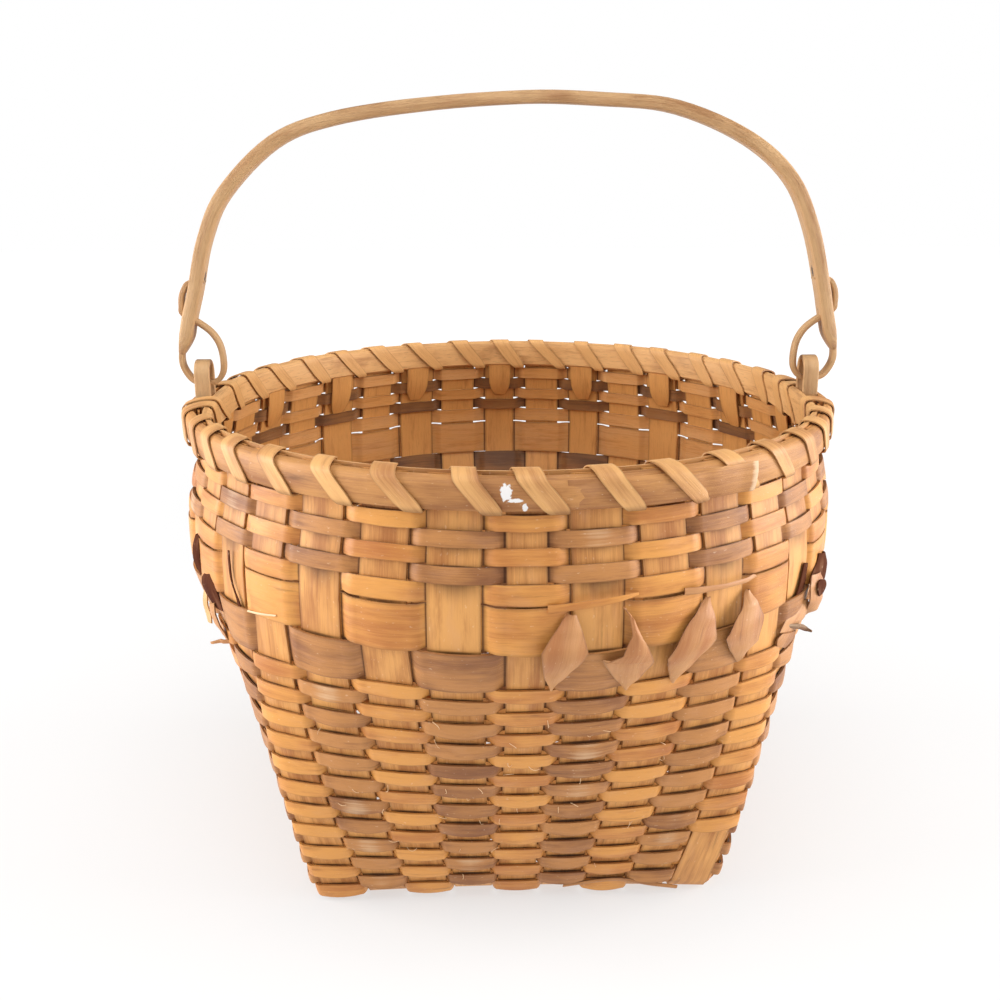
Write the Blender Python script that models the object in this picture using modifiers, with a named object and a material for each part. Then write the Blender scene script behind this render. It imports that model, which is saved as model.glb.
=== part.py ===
"""Splint basket with a bentwood swing handle.

Flat wooden splints cross in a square base, turn up and become the uprights of
a wall that opens from the square base to a round rim.  Narrow rows and two
wide bands are woven round the uprights, two hoops clamp the top of the wall,
and a lashing binds the hoops.  A bentwood loop stands in the rim on each
side, and the handle's tails curl through these loops and back through slots
in the handle itself, so the handle swings.

Units are metres, +Z is up and the front of the basket faces -Y.  The object
stands on the floor at z = 0, with its middle over the origin.
"""

import math

import bmesh
import bpy
from mathutils import Matrix, Vector
from mathutils.geometry import interpolate_bezier

MM = 0.001

# Clearance kept between pieces that lie against each other.
GAP = 0.3 * MM

# Splints of the base and the uprights
SPLINTS_PER_SIDE = 9
SPLINT_WIDTH = 16.5 * MM
SPLINT_THICKNESS = 0.8 * MM
SPLINT_SPACE = 2.7 * MM
UPRIGHT_DROP = 1.0 * MM

# Form of the wall
CORNER_SPACE = 3.0 * MM
CORNER_CUT = 1.0 * MM
RIM_WALL_RADIUS = 142.2 * MM
SHOULDER_SWELL = 5.3 * MM
WALL_STEPS = 3

# Woven rows
ROW_THICKNESS = 0.9 * MM
ROW_EDGE_MARGIN = 0.3 * MM
ROW_SPACE = 0.34 * MM
FIRST_ROW_SPACE = 0.2 * MM
LOWER_ROWS = 21
LOWER_PITCH = 5.9 * MM
WIDE_BAND_HEIGHT = 18.0 * MM
SLACK_ABOVE_BANDS = 2.3 * MM
UPPER_ROWS = 5
UPPER_PITCH = 6.3 * MM
SPACE_UNDER_RIM = 1.6 * MM

# Curled twists of splint over the wide bands at the front right: place round the
# wall, share of the bands' height, and how far it lies from an upright's face (0)
# to a float's (1), for the top, right, bottom and left corner
TWISTS = (
    ((5.20, 0.96, 0.0), (5.34, 0.59, 1.0), (4.84, 0.03, 0.0), (4.72, 0.59, 1.0)),
    ((5.98, 0.96, 0.2), (6.34, 0.44, 1.0), (6.04, -0.08, 0.4), (5.56, 0.50, 1.0)),
    ((7.22, 0.91, 0.0), (7.42, 0.33, 1.0), (6.80, -0.14, 1.0), (6.54, 0.46, 1.0)),
    ((8.06, 0.89, 0.2), (8.34, 0.28, 1.0), (8.02, -0.02, 0.2), (7.42, 0.46, 1.0)),
)
TWIST_THICKNESS = 0.7 * MM
TWIST_STAND = 3.8 * MM
TWIST_STEPS = 4

# Hoops and lashing of the rim
HOOP_HEIGHT = 14.0 * MM
HOOP_THICKNESS = 4.2 * MM
LASHING_WIDTH = 11.0 * MM
LASHING_CLEARANCE = 0.45 * MM
LASHING_THICKNESS = 0.7 * MM
LASHING_SLANT = 0.45
LASHING_GAP = 0.6 * MM

# Bentwood loops that carry the handle
EAR_WIDTH = 7.0 * MM
EAR_THICKNESS = 2.5 * MM
EAR_ABOVE_RIM = 16.5 * MM
EAR_ARC_STEPS = 6

# Handle; its tails sit a little to the right in their ears
TAIL_WIDTH = 7.0 * MM
TAIL_THICKNESS = 2.6 * MM
TAIL_SIDE_PLAY = 0.6 * MM
TAIL_SWING_PLAY = 0.6 * MM
HANDLE_WIDTH = 10.8 * MM
HANDLE_THICKNESS = 6.2 * MM
HANDLE_TOP_THICKNESS = 5.5 * MM
HANDLE_SHIFT = 0.9 * MM
HANDLE_CHAMFER = 1.6 * MM
TAIL_CHAMFER = 0.5 * MM
SLOT_CLEARANCE = 0.45 * MM
FOOT_ABOVE_AXIS = 43.4 * MM
BOW_RISE = 83.4 * MM
BOW_STEPS = 2
RING_HEIGHT = 27.6 * MM

# Plan of the base and its splints
PLACES = 4 * SPLINTS_PER_SIDE
BASE_PITCH = SPLINT_WIDTH + SPLINT_SPACE
LAST_EDGE = (SPLINTS_PER_SIDE - 1) / 2.0 + 0.5 * SPLINT_WIDTH / BASE_PITCH
BASE_HALF = LAST_EDGE * BASE_PITCH + CORNER_SPACE
BASE_THICKNESS = 3.0 * SPLINT_THICKNESS + 2.0 * GAP

# The wall turns upright between the two wide bands, and above them it narrows
# a little towards the rim.
SHOULDER_RADIUS = RIM_WALL_RADIUS + SHOULDER_SWELL
LOWER_BOTTOM = BASE_THICKNESS + FIRST_ROW_SPACE
BANDS_BOTTOM = LOWER_BOTTOM + LOWER_ROWS * LOWER_PITCH
SHOULDER_HEIGHT = BANDS_BOTTOM + WIDE_BAND_HEIGHT
UPPER_BOTTOM = SHOULDER_HEIGHT + WIDE_BAND_HEIGHT + SLACK_ABOVE_BANDS
RIM_BOTTOM = UPPER_BOTTOM + UPPER_ROWS * UPPER_PITCH + SPACE_UNDER_RIM
RIM_TOP = RIM_BOTTOM + HOOP_HEIGHT

# A twist lies close to the uprights or the floats at its top and its bottom.
TWIST_CLOSE = 0.5 * SPLINT_THICKNESS + GAP + 0.5 * TWIST_THICKNESS

# The lashing passes between the uprights at the bottom of the hoops.
RIM_SPACE = 2.0 * math.pi * RIM_WALL_RADIUS / PLACES
LASHING_WAIST = RIM_SPACE - SPLINT_WIDTH - 2.0 * LASHING_CLEARANCE

# The tail turns in its ear as high over the lashing as its corners need.
EAR_PLACES = (1.5 * SPLINTS_PER_SIDE, 3.5 * SPLINTS_PER_SIDE)
EAR_INSIDE = TAIL_WIDTH + 2.0 * TAIL_SIDE_PLAY
LASHING_TOP = RIM_TOP + LASHING_GAP + LASHING_THICKNESS
AXIS_HEIGHT = LASHING_TOP + math.hypot(TAIL_WIDTH, TAIL_THICKNESS) / 2.0 + TAIL_SWING_PLAY

COLORS = {
    "upright": (0.62, 0.40, 0.20),
    "light": (0.66, 0.43, 0.21),
    "dark": (0.42, 0.25, 0.14),
    "twist": (0.60, 0.38, 0.22),
    "hoop": (0.50, 0.31, 0.15),
    "lashing": (0.63, 0.44, 0.25),
    "ear": (0.68, 0.45, 0.22),
    "handle": (0.58, 0.36, 0.17),
}


# scene and mesh helpers

def clear_scene():
    for item in list(bpy.data.objects):
        bpy.data.objects.remove(item, do_unlink=True)


def new_collection(name):
    collection = bpy.data.collections.new(name)
    bpy.context.scene.collection.children.link(collection)
    return collection


def wood(name):
    """Oiled and aged splint wood in one of the basket's colours."""
    material = bpy.data.materials.get(name) or bpy.data.materials.new(name)
    material.use_nodes = True
    shader = material.node_tree.nodes["Principled BSDF"]
    shader.inputs["Base Color"].default_value = (*COLORS[name], 1.0)
    shader.inputs["Roughness"].default_value = 0.55
    shader.inputs["Metallic"].default_value = 0.0
    return material


def add_object(name, bm, collection, color):
    bmesh.ops.recalc_face_normals(bm, faces=bm.faces)
    mesh = bpy.data.meshes.new(name)
    bm.to_mesh(mesh)
    bm.free()
    item = bpy.data.objects.new(name, mesh)
    collection.objects.link(item)
    if color:
        mesh.materials.append(wood(color))
    return item


def closed_band(name, sections, collection, color):
    """Ring whose section is laid round a closed route."""
    bpy.ops.mesh.primitive_torus_add(
        major_segments=len(sections), minor_segments=len(sections[0])
    )
    item = bpy.context.object
    item.name = name
    for owner in item.users_collection:
        owner.objects.unlink(item)
    collection.objects.link(item)
    points = [point for section in sections for point in section]
    for vertex, point in zip(item.data.vertices, points):
        vertex.co = point
    bm = bmesh.new()
    bm.from_mesh(item.data)
    bmesh.ops.recalc_face_normals(bm, faces=bm.faces)
    bm.to_mesh(item.data)
    bm.free()
    item.data.materials.append(wood(color))
    return item


def strip(name, edges, thickness, collection, color):
    """Flat splint along pairs of edge points, thickened both ways."""
    bm = bmesh.new()
    bmesh.ops.create_grid(bm, x_segments=len(edges) - 1, y_segments=1, size=1.0)
    bm.verts.ensure_lookup_table()
    order = sorted(bm.verts, key=lambda vertex: (round(vertex.co.x, 6), vertex.co.y))
    points = [point for pair in edges for point in pair]
    for vertex, point in zip(order, points):
        vertex.co = point
    item = add_object(name, bm, collection, color)
    solidify = item.modifiers.new("Thickness", "SOLIDIFY")
    solidify.thickness = thickness
    solidify.offset = 0.0
    solidify.use_even_offset = True
    return item


def loft(name, sections, collection, color):
    """Closed solid through unlike sections with the same number of points."""
    bm = bmesh.new()
    rings = [[bm.verts.new(point) for point in section] for section in sections]
    for here, there in zip(rings, rings[1:]):
        for index in range(len(here)):
            after = (index + 1) % len(here)
            bm.faces.new((here[index], here[after], there[after], there[index]))
    bm.faces.new(rings[0])
    bm.faces.new(rings[-1])
    return add_object(name, bm, collection, color)


# wall surface

def smooth(value):
    value = min(max(value, 0.0), 1.0)
    return value * value * (3.0 - 2.0 * value)


def square_outline(place):
    """Point of the base outline, for a half width of 1.

    The splints are evenly spaced along a side, and the outline then runs on
    to the corner, which is cut a little.
    """
    side, along = divmod(place % PLACES, SPLINTS_PER_SIDE)
    half_count = SPLINTS_PER_SIDE / 2.0
    steps = along - half_count
    past = max(0.0, abs(steps) - LAST_EDGE) / (half_count - LAST_EDGE)
    across = abs(steps) * BASE_PITCH
    across += past * (BASE_HALF - half_count * BASE_PITCH - CORNER_CUT)
    out = BASE_HALF - past * CORNER_CUT
    turn = Matrix.Rotation(side * math.pi / 2.0, 2)
    return turn @ Vector((math.copysign(across, steps), -out)) / BASE_HALF


def rim_angle(place):
    return 2.0 * math.pi * place / PLACES - 0.75 * math.pi


def round_outline(place):
    angle = rim_angle(place)
    return Vector((math.cos(angle), math.sin(angle)))


def half_width(height):
    """Half width of the wall at the middle of a side."""
    if height < SHOULDER_HEIGHT:
        share = height / SHOULDER_HEIGHT
        return BASE_HALF + share * (SHOULDER_RADIUS - BASE_HALF)
    share = (height - UPPER_BOTTOM) / (RIM_BOTTOM - UPPER_BOTTOM)
    return SHOULDER_RADIUS + smooth(share) * (RIM_WALL_RADIUS - SHOULDER_RADIUS)


def wall_section(place, height):
    roundness = min(height / SHOULDER_HEIGHT, 1.0)
    outline = square_outline(place).lerp(round_outline(place), roundness)
    point = outline * half_width(height)
    return Vector((point.x, point.y, height))


def wall_pitch(place, height):
    """Distance from one upright to the next, round the wall at this height."""
    reach = 0.25
    span = wall_section(place + reach, height) - wall_section(place - reach, height)
    return 0.5 * span.length / reach


# uprights

def upright_levels(index):
    """Heights where an upright bends; those near a corner twist and need more."""
    from_middle = abs(index % SPLINTS_PER_SIDE - (SPLINTS_PER_SIDE - 1) / 2.0)
    steps = WALL_STEPS if from_middle <= SPLINTS_PER_SIDE / 4.0 else 2 * WALL_STEPS
    levels = [SHOULDER_HEIGHT * step / steps for step in range(steps + 1)]
    return levels + [UPPER_BOTTOM, (UPPER_BOTTOM + RIM_BOTTOM) / 2.0, RIM_BOTTOM, RIM_TOP]


def level_edges(index, level):
    place = index + 0.5
    reach = 0.5 * SPLINT_WIDTH / wall_pitch(place, level)
    return wall_section(place - reach, level), wall_section(place + reach, level)


def upright_span(index, height):
    """Edge points of the upright's levels below and above a height."""
    levels = upright_levels(index)
    low, high = levels[0], levels[1]
    for below, above in zip(levels, levels[1:]):
        if height >= below:
            low, high = below, above
    share = (height - low) / (high - low)
    return level_edges(index, low), level_edges(index, high), share


def upright_edges(index, height):
    (left_low, right_low), (left_high, right_high), share = upright_span(index, height)
    return left_low.lerp(left_high, share), right_low.lerp(right_high, share)


def upright_frame(index, height):
    """Edges, sideways and outward directions, and how far the twist bulges."""
    (left_low, right_low), (left_high, right_high), share = upright_span(index, height)
    left = left_low.lerp(left_high, share)
    right = right_low.lerp(right_high, share)
    sideways = (right - left).normalized()
    up = left_high + right_high - left_low - right_low
    normal = sideways.cross(up).normalized()
    twist = (right_high - left_high) - (right_low - left_low)
    return left, right, sideways, normal, abs(twist.dot(normal)) / 4.0


def upright_route(index, base_height, top):
    """Edge pairs of one upright, from the base's edge to its top."""
    heights = [base_height]
    heights += [level for level in upright_levels(index) if base_height < level < top]
    heights.append(top)
    return [upright_edges(index, height) for height in heights]


def long_splint(name, number, crosswise, collection):
    """One splint: down a wall, across the base and up the opposite wall."""
    offset = (number - (SPLINTS_PER_SIDE - 1) / 2.0) * BASE_PITCH
    first_index = number
    last_index = 3 * SPLINTS_PER_SIDE - 1 - number
    middle = BASE_THICKNESS / 2.0
    rise = SPLINT_THICKNESS + GAP
    levels = [middle] * SPLINTS_PER_SIDE
    if crosswise:
        first_index += SPLINTS_PER_SIDE
        last_index += SPLINTS_PER_SIDE
        levels = [
            middle + (rise if (number + other) % 2 == 0 else -rise)
            for other in range(SPLINTS_PER_SIDE)
        ]
    top = RIM_TOP - UPRIGHT_DROP
    if first_index + 0.5 in EAR_PLACES:
        top = RIM_BOTTOM - UPRIGHT_DROP
    first = upright_route(first_index, levels[-1], top)
    last = upright_route(last_index, levels[0], top)
    edges = [(right, left) for left, right in reversed(first)]
    if crosswise:
        reach = SPLINT_WIDTH / 2.0
        stations = []
        for other in reversed(range(SPLINTS_PER_SIDE)):
            at = (other - (SPLINTS_PER_SIDE - 1) / 2.0) * BASE_PITCH
            stations.append((at + reach + GAP, levels[other]))
            stations.append((at - reach - GAP, levels[other]))
        for along, height in stations[1:-1]:
            edges.append((
                Vector((along, offset + reach, height)),
                Vector((along, offset - reach, height)),
            ))
    edges += [(left, right) for left, right in last]
    return strip(name, edges, SPLINT_THICKNESS, collection, "upright")


# woven rows

def row_stations(color, height):
    """Upright, its side and how far out the row lies there, all round the wall."""
    for index in range(PLACES):
        bulge = upright_frame(index, height)[-1]
        outer = SPLINT_THICKNESS / 2.0 + GAP + bulge
        outside = (index % 2 == 0) == (color == "light")
        out = outer if outside else -outer - ROW_THICKNESS
        yield index, -1.0, out
        yield index, 1.0, out


def row_point(index, side, height, out):
    left, right, sideways, normal, _bulge = upright_frame(index, height)
    edge = right if side > 0.0 else left
    return edge + sideways * side * ROW_EDGE_MARGIN + normal * out


def woven_row(name, bottom, height, collection, color):
    """Ring woven out and in round the uprights, slightly crowned outwards."""
    low = bottom + ROW_SPACE / 2.0
    high = bottom + height - ROW_SPACE / 2.0
    middle = (low + high) / 2.0
    sections = []
    for index, side, out in row_stations(color, middle):
        sections.append((
            row_point(index, side, low, out),
            row_point(index, side, high, out),
            row_point(index, side, middle, out + ROW_THICKNESS),
        ))
    return closed_band(name, sections, collection, color)


def woven_rows(collection):
    """Narrow rows, two wide bands and narrow rows again, light over dark."""
    rows = [
        (f"lower_row_{number + 1:02d}", LOWER_PITCH, "dark" if number % 2 else "light")
        for number in range(LOWER_ROWS)
    ]
    rows.append(("wide_band_dark", WIDE_BAND_HEIGHT, "dark"))
    rows.append(("wide_band_light", WIDE_BAND_HEIGHT, "light"))
    rows += [
        (f"upper_row_{number + 1}", UPPER_PITCH, "dark" if number % 2 else "light")
        for number in range(UPPER_ROWS)
    ]
    bottom = LOWER_BOTTOM
    for name, height, color in rows:
        if name == "upper_row_1":
            bottom += SLACK_ABOVE_BANDS
        woven_row(name, bottom, height, collection, color)
        bottom += height


def wall_outward(place, height):
    step = 0.1
    along = wall_section(place + step, height) - wall_section(place - step, height)
    up = wall_section(place, height + GAP) - wall_section(place, height - GAP)
    return along.cross(up).normalized()


def twist(name, corners, collection):
    """Curled strip over the bands: close at its top and bottom, its sides stand off."""
    bm = bmesh.new()
    bmesh.ops.create_grid(bm, x_segments=TWIST_STEPS, y_segments=TWIST_STEPS, size=1.0)
    top, right, bottom, left = (Vector(corner) for corner in corners)
    for vertex in bm.verts:
        across = (vertex.co.x + 1.0) / 2.0
        down = (vertex.co.y + 1.0) / 2.0
        place, share, layer = top.lerp(right, across).lerp(left.lerp(bottom, across), down)
        height = BANDS_BOTTOM + share * 2.0 * WIDE_BAND_HEIGHT
        lift = math.sin(0.5 * math.pi * (1.0 - abs(across + down - 1.0)))
        out = TWIST_CLOSE + layer * (ROW_THICKNESS + GAP) + lift * TWIST_STAND
        vertex.co = wall_section(place, height) + wall_outward(place, height) * out
    item = add_object(name, bm, collection, "twist")
    solidify = item.modifiers.new("Thickness", "SOLIDIFY")
    solidify.thickness = TWIST_THICKNESS
    solidify.offset = 0.0
    solidify.use_even_offset = True
    return item


# rim

def ear_spread(place):
    """How far the hoops stand off the wall's middle to make room for an ear."""
    distance = min(abs((place - ear + PLACES / 2) % PLACES - PLACES / 2) for ear in EAR_PLACES)
    room = EAR_WIDTH / 2.0 - SPLINT_THICKNESS / 2.0
    return room * (1.0 - smooth((distance - 0.5) / 1.5))


def flat_factor(place):
    """A hoop runs straight from one space between uprights to the next."""
    from_flat = abs(place % 1.0 - 0.5) * 2.0 * math.pi / PLACES
    return math.cos(math.pi / PLACES) / math.cos(from_flat)


def hoop_spread(place):
    along = place % 1.0
    first = math.floor(place)
    return (1.0 - along) * ear_spread(first) + along * ear_spread(first + 1)


def outer_hoop_radius(place):
    upright_face = wall_flat_radius() + SPLINT_THICKNESS / 2.0 + GAP
    corner = upright_face / math.cos(math.pi / PLACES) + hoop_spread(place)
    return corner * flat_factor(place)


def inner_hoop_radius(place):
    upright_face = wall_flat_radius() - SPLINT_THICKNESS / 2.0 - GAP
    corner = upright_face / math.cos(math.pi / PLACES) - hoop_spread(place)
    return corner * flat_factor(place)


def wall_flat_radius():
    """Distance from the middle of the basket to an upright's flat at the rim."""
    return math.sqrt(RIM_WALL_RADIUS ** 2 - (SPLINT_WIDTH / 2.0) ** 2)


def ring_point(place, radius, height):
    flat = round_outline(place) * radius
    return Vector((flat.x, flat.y, height))


def hoop(name, inner_face, outer_face, collection):
    sections = []
    for place in range(PLACES):
        sections.append((
            ring_point(place, inner_face(place), RIM_BOTTOM),
            ring_point(place, outer_face(place), RIM_BOTTOM),
            ring_point(place, outer_face(place), RIM_TOP),
            ring_point(place, inner_face(place), RIM_TOP),
        ))
    return closed_band(name, sections, collection, "hoop")


def hoops(collection):
    hoop(
        "outer_hoop",
        outer_hoop_radius,
        lambda place: outer_hoop_radius(place) + HOOP_THICKNESS,
        collection,
    )
    hoop(
        "inner_hoop",
        lambda place: inner_hoop_radius(place) - HOOP_THICKNESS,
        inner_hoop_radius,
        collection,
    )


def lashing_stops():
    """Place, side of the rim, end of the hoops and width at each corner."""
    for turn in range(PLACES):
        top_place = turn + 1.0 - LASHING_SLANT
        top_width = LASHING_WIDTH
        if any(turn < place < turn + 1 for place in EAR_PLACES):
            top_place = turn + 1.0
            top_width = LASHING_WAIST
        yield turn, "inside", "bottom", LASHING_WAIST
        yield top_place, "inside", "top", top_width
        yield top_place, "outside", "top", top_width
        yield turn + 1.0, "outside", "bottom", LASHING_WAIST


def lashing(collection):
    """Splint wound round both hoops, once in every space between uprights."""
    sections = []
    for place, side, level, width in lashing_stops():
        reach = 0.5 * width / RIM_SPACE
        section = []
        for edge, layer in ((-1, 0), (1, 0), (1, 1), (-1, 1)):
            at = place + edge * reach
            off = LASHING_GAP + layer * LASHING_THICKNESS
            if side == "outside":
                face = max(outer_hoop_radius(place), outer_hoop_radius(at))
                radius = face + HOOP_THICKNESS + off
            else:
                face = min(inner_hoop_radius(place), inner_hoop_radius(at))
                radius = face - HOOP_THICKNESS - off
            height = RIM_TOP + off if level == "top" else RIM_BOTTOM - off
            section.append(ring_point(at, radius, height))
        sections.append(section)
    return closed_band("rim_lashing", sections, collection, "lashing")


def ear(name, side, collection):
    """Bentwood loop that stands between the spread hoops, its strap on edge."""
    half = (EAR_INSIDE + EAR_THICKNESS) / 2.0
    crown = RIM_TOP + EAR_ABOVE_RIM - EAR_THICKNESS / 2.0
    route = [(-half, RIM_BOTTOM)]
    for step in range(EAR_ARC_STEPS + 1):
        angle = math.pi * step / EAR_ARC_STEPS
        route.append((-half * math.cos(angle), crown - half + half * math.sin(angle)))
    route.append((half, RIM_BOTTOM))
    edges = []
    for across, height in route:
        inner = Vector((side * (RIM_WALL_RADIUS - EAR_WIDTH / 2.0), across, height))
        outer = Vector((side * (RIM_WALL_RADIUS + EAR_WIDTH / 2.0), across, height))
        edges.append((inner, outer))
    return strip(name, edges, EAR_THICKNESS, collection, "ear")


# handle

# Marks of the bow's middle line, in shares of the half span and of the rise, as
# the wood has set with age: flat on top, with a harder bend at each shoulder.
BOW = (
    (-1.005, 0.0), (-0.965, 0.262), (-0.893, 0.505), (-0.731, 0.765), (-0.548, 0.882),
    (-0.273, 0.952), (0.051, 0.990), (0.305, 0.978), (0.528, 0.938), (0.756, 0.778),
    (0.899, 0.570), (0.975, 0.310), (1.024, 0.0),
)
# Ends of the bar below the bow, out from the ear's middle and up from the hinge
# axis in shares of the ring's height, with shares of the bar's width and thickness.
BAR_END = (
    (0.188, 1.123, 1.0, 1.0), (0.259, 0.815, 1.0, 1.0),
    (0.308, 0.663, 0.85, 0.62), (0.372, 0.500, 0.0, 0.0),
)
# The tail's ring through the ear, in the same shares, up to the lower slot.
TAIL_RING = (
    (0.370, 0.312), (0.290, 0.138), (0.175, 0.028), (0.0, 0.0), (-0.180, 0.030),
    (-0.290, 0.188), (-0.305, 0.417), (-0.262, 0.652), (-0.145, 0.848), (0.040, 1.0),
)
# From the lower slot to the upper one: up from the axis, and how far the tail
# stands off the outer face of the bar.
TAIL_BULGE = ((1.167, -0.033), (1.290, 0.020), (1.442, 0.050), (1.580, 0.034), (1.674, -0.033))
TAIL_TIP = 1.717


def chamfered(center, tangent, width, thickness, chamfer):
    """Eight-sided section square to a route that lies in the XZ plane."""
    side = Vector((0.0, 1.0, 0.0))
    normal = side.cross(tangent).normalized()
    half_w, half_t = width / 2.0, thickness / 2.0
    corners = (
        (half_w, half_t - chamfer), (half_w - chamfer, half_t),
        (chamfer - half_w, half_t), (-half_w, half_t - chamfer),
        (-half_w, chamfer - half_t), (chamfer - half_w, -half_t),
        (half_w - chamfer, -half_t), (half_w, chamfer - half_t),
    )
    return [center + side * across + normal * out for across, out in corners]


def on_side(side, out, up):
    """Point out from the middle of an ear and up from the axis, in shares of the ring."""
    radius = RIM_WALL_RADIUS + out * RING_HEIGHT
    return Vector((side * radius + HANDLE_SHIFT, 0.0, AXIS_HEIGHT + up * RING_HEIGHT))


def sections_along(stops):
    """Sections at stops of centre, width, thickness and chamfer."""
    sections = []
    last = len(stops) - 1
    for index, (center, width, thickness, chamfer) in enumerate(stops):
        incoming = (center - stops[max(index - 1, 0)][0]).normalized()
        outgoing = (stops[min(index + 1, last)][0] - center).normalized()
        tangent = (incoming + outgoing).normalized()
        sections.append(chamfered(center, tangent, width, thickness, chamfer))
    return sections


def bar_end_stops(side):
    stops = []
    for out, up, wide, thick in BAR_END:
        stops.append((
            on_side(side, out, up),
            TAIL_WIDTH + wide * (HANDLE_WIDTH - TAIL_WIDTH),
            TAIL_THICKNESS + thick * (HANDLE_THICKNESS - TAIL_THICKNESS),
            TAIL_CHAMFER + thick * (HANDLE_CHAMFER - TAIL_CHAMFER),
        ))
    return stops


def bow_route():
    """Smooth middle line through the marks of the bow."""
    foot = AXIS_HEIGHT + FOOT_ABOVE_AXIS
    marks = [on_side(-1.0, *BAR_END[0][:2])]
    for across, up in BOW:
        marks.append(Vector((across * RIM_WALL_RADIUS, 0.0, foot + up * BOW_RISE)))
    marks.append(on_side(1.0, *BAR_END[0][:2]))
    route = []
    for before, here, there, after in zip(marks, marks[1:], marks[2:], marks[3:]):
        leaving = here + (there - before) / 6.0
        arriving = there - (after - here) / 6.0
        route += interpolate_bezier(here, leaving, arriving, there, BOW_STEPS + 1)[:-1]
    return route + [marks[-2]]


def bar_stops():
    stops = list(reversed(bar_end_stops(-1.0)))
    for center in bow_route():
        share = smooth(1.0 - abs(center.x) / RIM_WALL_RADIUS)
        thickness = HANDLE_THICKNESS + share * (HANDLE_TOP_THICKNESS - HANDLE_THICKNESS)
        stops.append((center, HANDLE_WIDTH, thickness, HANDLE_CHAMFER))
    return stops + bar_end_stops(1.0)


def beside_bar(side, up, out):
    """Point at a height beside the bar, out from the bar's middle line."""
    height = AXIS_HEIGHT + up * RING_HEIGHT
    centers = [center for center, _width, _thickness, _chamfer in bar_stops()]
    centers = sorted((point for point in centers if point.x * side > 0.0), key=lambda at: at.z)
    for low, high in zip(centers, centers[1:]):
        if low.z <= height <= high.z:
            point = low.lerp(high, (height - low.z) / (high.z - low.z))
    return point + Vector((side * out, 0.0, 0.0))


def tail_route(side):
    """Middle line of a tail, from the bar's end to its tip in the upper slot."""
    face = HANDLE_THICKNESS / 2.0
    route = [on_side(side, out, up) for out, up in TAIL_RING]
    for up, stand_off in TAIL_BULGE:
        out = face + TAIL_THICKNESS / 2.0 + stand_off * RING_HEIGHT
        route.append(beside_bar(side, up, out))
    route.append(beside_bar(side, TAIL_TIP, -face))
    return route


def tail_sections(side):
    """Sections from the bar's end round the ear and through both slots."""
    centers = [on_side(side, *stop[:2]) for stop in BAR_END[-2:]] + tail_route(side)
    stops = [(center, TAIL_WIDTH, TAIL_THICKNESS, TAIL_CHAMFER) for center in centers]
    return sections_along(stops)[1:]


def cut_slot(name, bar, start, stop, cutters):
    """Open the bar where the tail goes straight through it."""
    along = (stop - start).normalized()
    sections = [
        chamfered(
            point, along, TAIL_WIDTH + 2.0 * SLOT_CLEARANCE,
            TAIL_THICKNESS + 2.0 * SLOT_CLEARANCE, TAIL_CHAMFER,
        )
        for point in (start - along * HANDLE_THICKNESS, stop + along * HANDLE_THICKNESS)
    ]
    cutter = loft(name, sections, cutters, None)
    cutter.hide_render = True
    cutter.display_type = "WIRE"
    boolean = bar.modifiers.new(name, "BOOLEAN")
    boolean.operation = "DIFFERENCE"
    boolean.solver = "EXACT"
    boolean.object = cutter


def grow_tail(bm, side):
    """Extrude the bar's end face along the tail's route."""
    sections = tail_sections(side)
    middle = sum(sections[0], Vector()) / len(sections[0])
    face = min(bm.faces, key=lambda item: (item.calc_center_median() - middle).length)
    order = [
        min(range(len(sections[0])), key=lambda at: (sections[0][at] - vertex.co).length)
        for vertex in face.verts
    ]
    for section in sections[1:]:
        grown = bmesh.ops.extrude_discrete_faces(bm, faces=[face])["faces"][0]
        for vertex, at in zip(grown.verts, order):
            vertex.co = section[at]
        face = grown


def handle(collection, cutters):
    """Bentwood handle in one piece: bar, slots, and the tails that curl back."""
    bar = loft("handle", sections_along(bar_stops()), collection, "handle")
    for side in (-1.0, 1.0):
        label = "left" if side < 0.0 else "right"
        route = tail_route(side)
        entry = len(TAIL_RING) - 1
        cut_slot(f"lower_slot_{label}", bar, route[entry], route[entry + 1], cutters)
        cut_slot(f"upper_slot_{label}", bar, route[-2], route[-1], cutters)
    depsgraph = bpy.context.evaluated_depsgraph_get()
    bm = bmesh.new()
    bm.from_object(bar, depsgraph)
    bar.modifiers.clear()
    for side in (-1.0, 1.0):
        grow_tail(bm, side)
    bmesh.ops.translate(bm, verts=bm.verts, vec=(0.0, 0.0, -AXIS_HEIGHT))
    bm.to_mesh(bar.data)
    bm.free()
    bar.location.z = AXIS_HEIGHT
    return bar


def main():
    clear_scene()
    basket = new_collection("splint_basket")
    cutters = new_collection("cutters")
    for index in range(SPLINTS_PER_SIDE):
        long_splint(f"lengthwise_splint_{index + 1}", index, False, basket)
        long_splint(f"crosswise_splint_{index + 1}", index, True, basket)
    woven_rows(basket)
    for index, corners in enumerate(TWISTS):
        twist(f"twist_{index + 1}", corners, basket)
    hoops(basket)
    lashing(basket)
    ear("ear_left", -1.0, basket)
    ear("ear_right", 1.0, basket)
    handle(basket, cutters)


main()
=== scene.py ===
"""Worn split-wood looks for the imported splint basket, with its stage and camera."""

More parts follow.
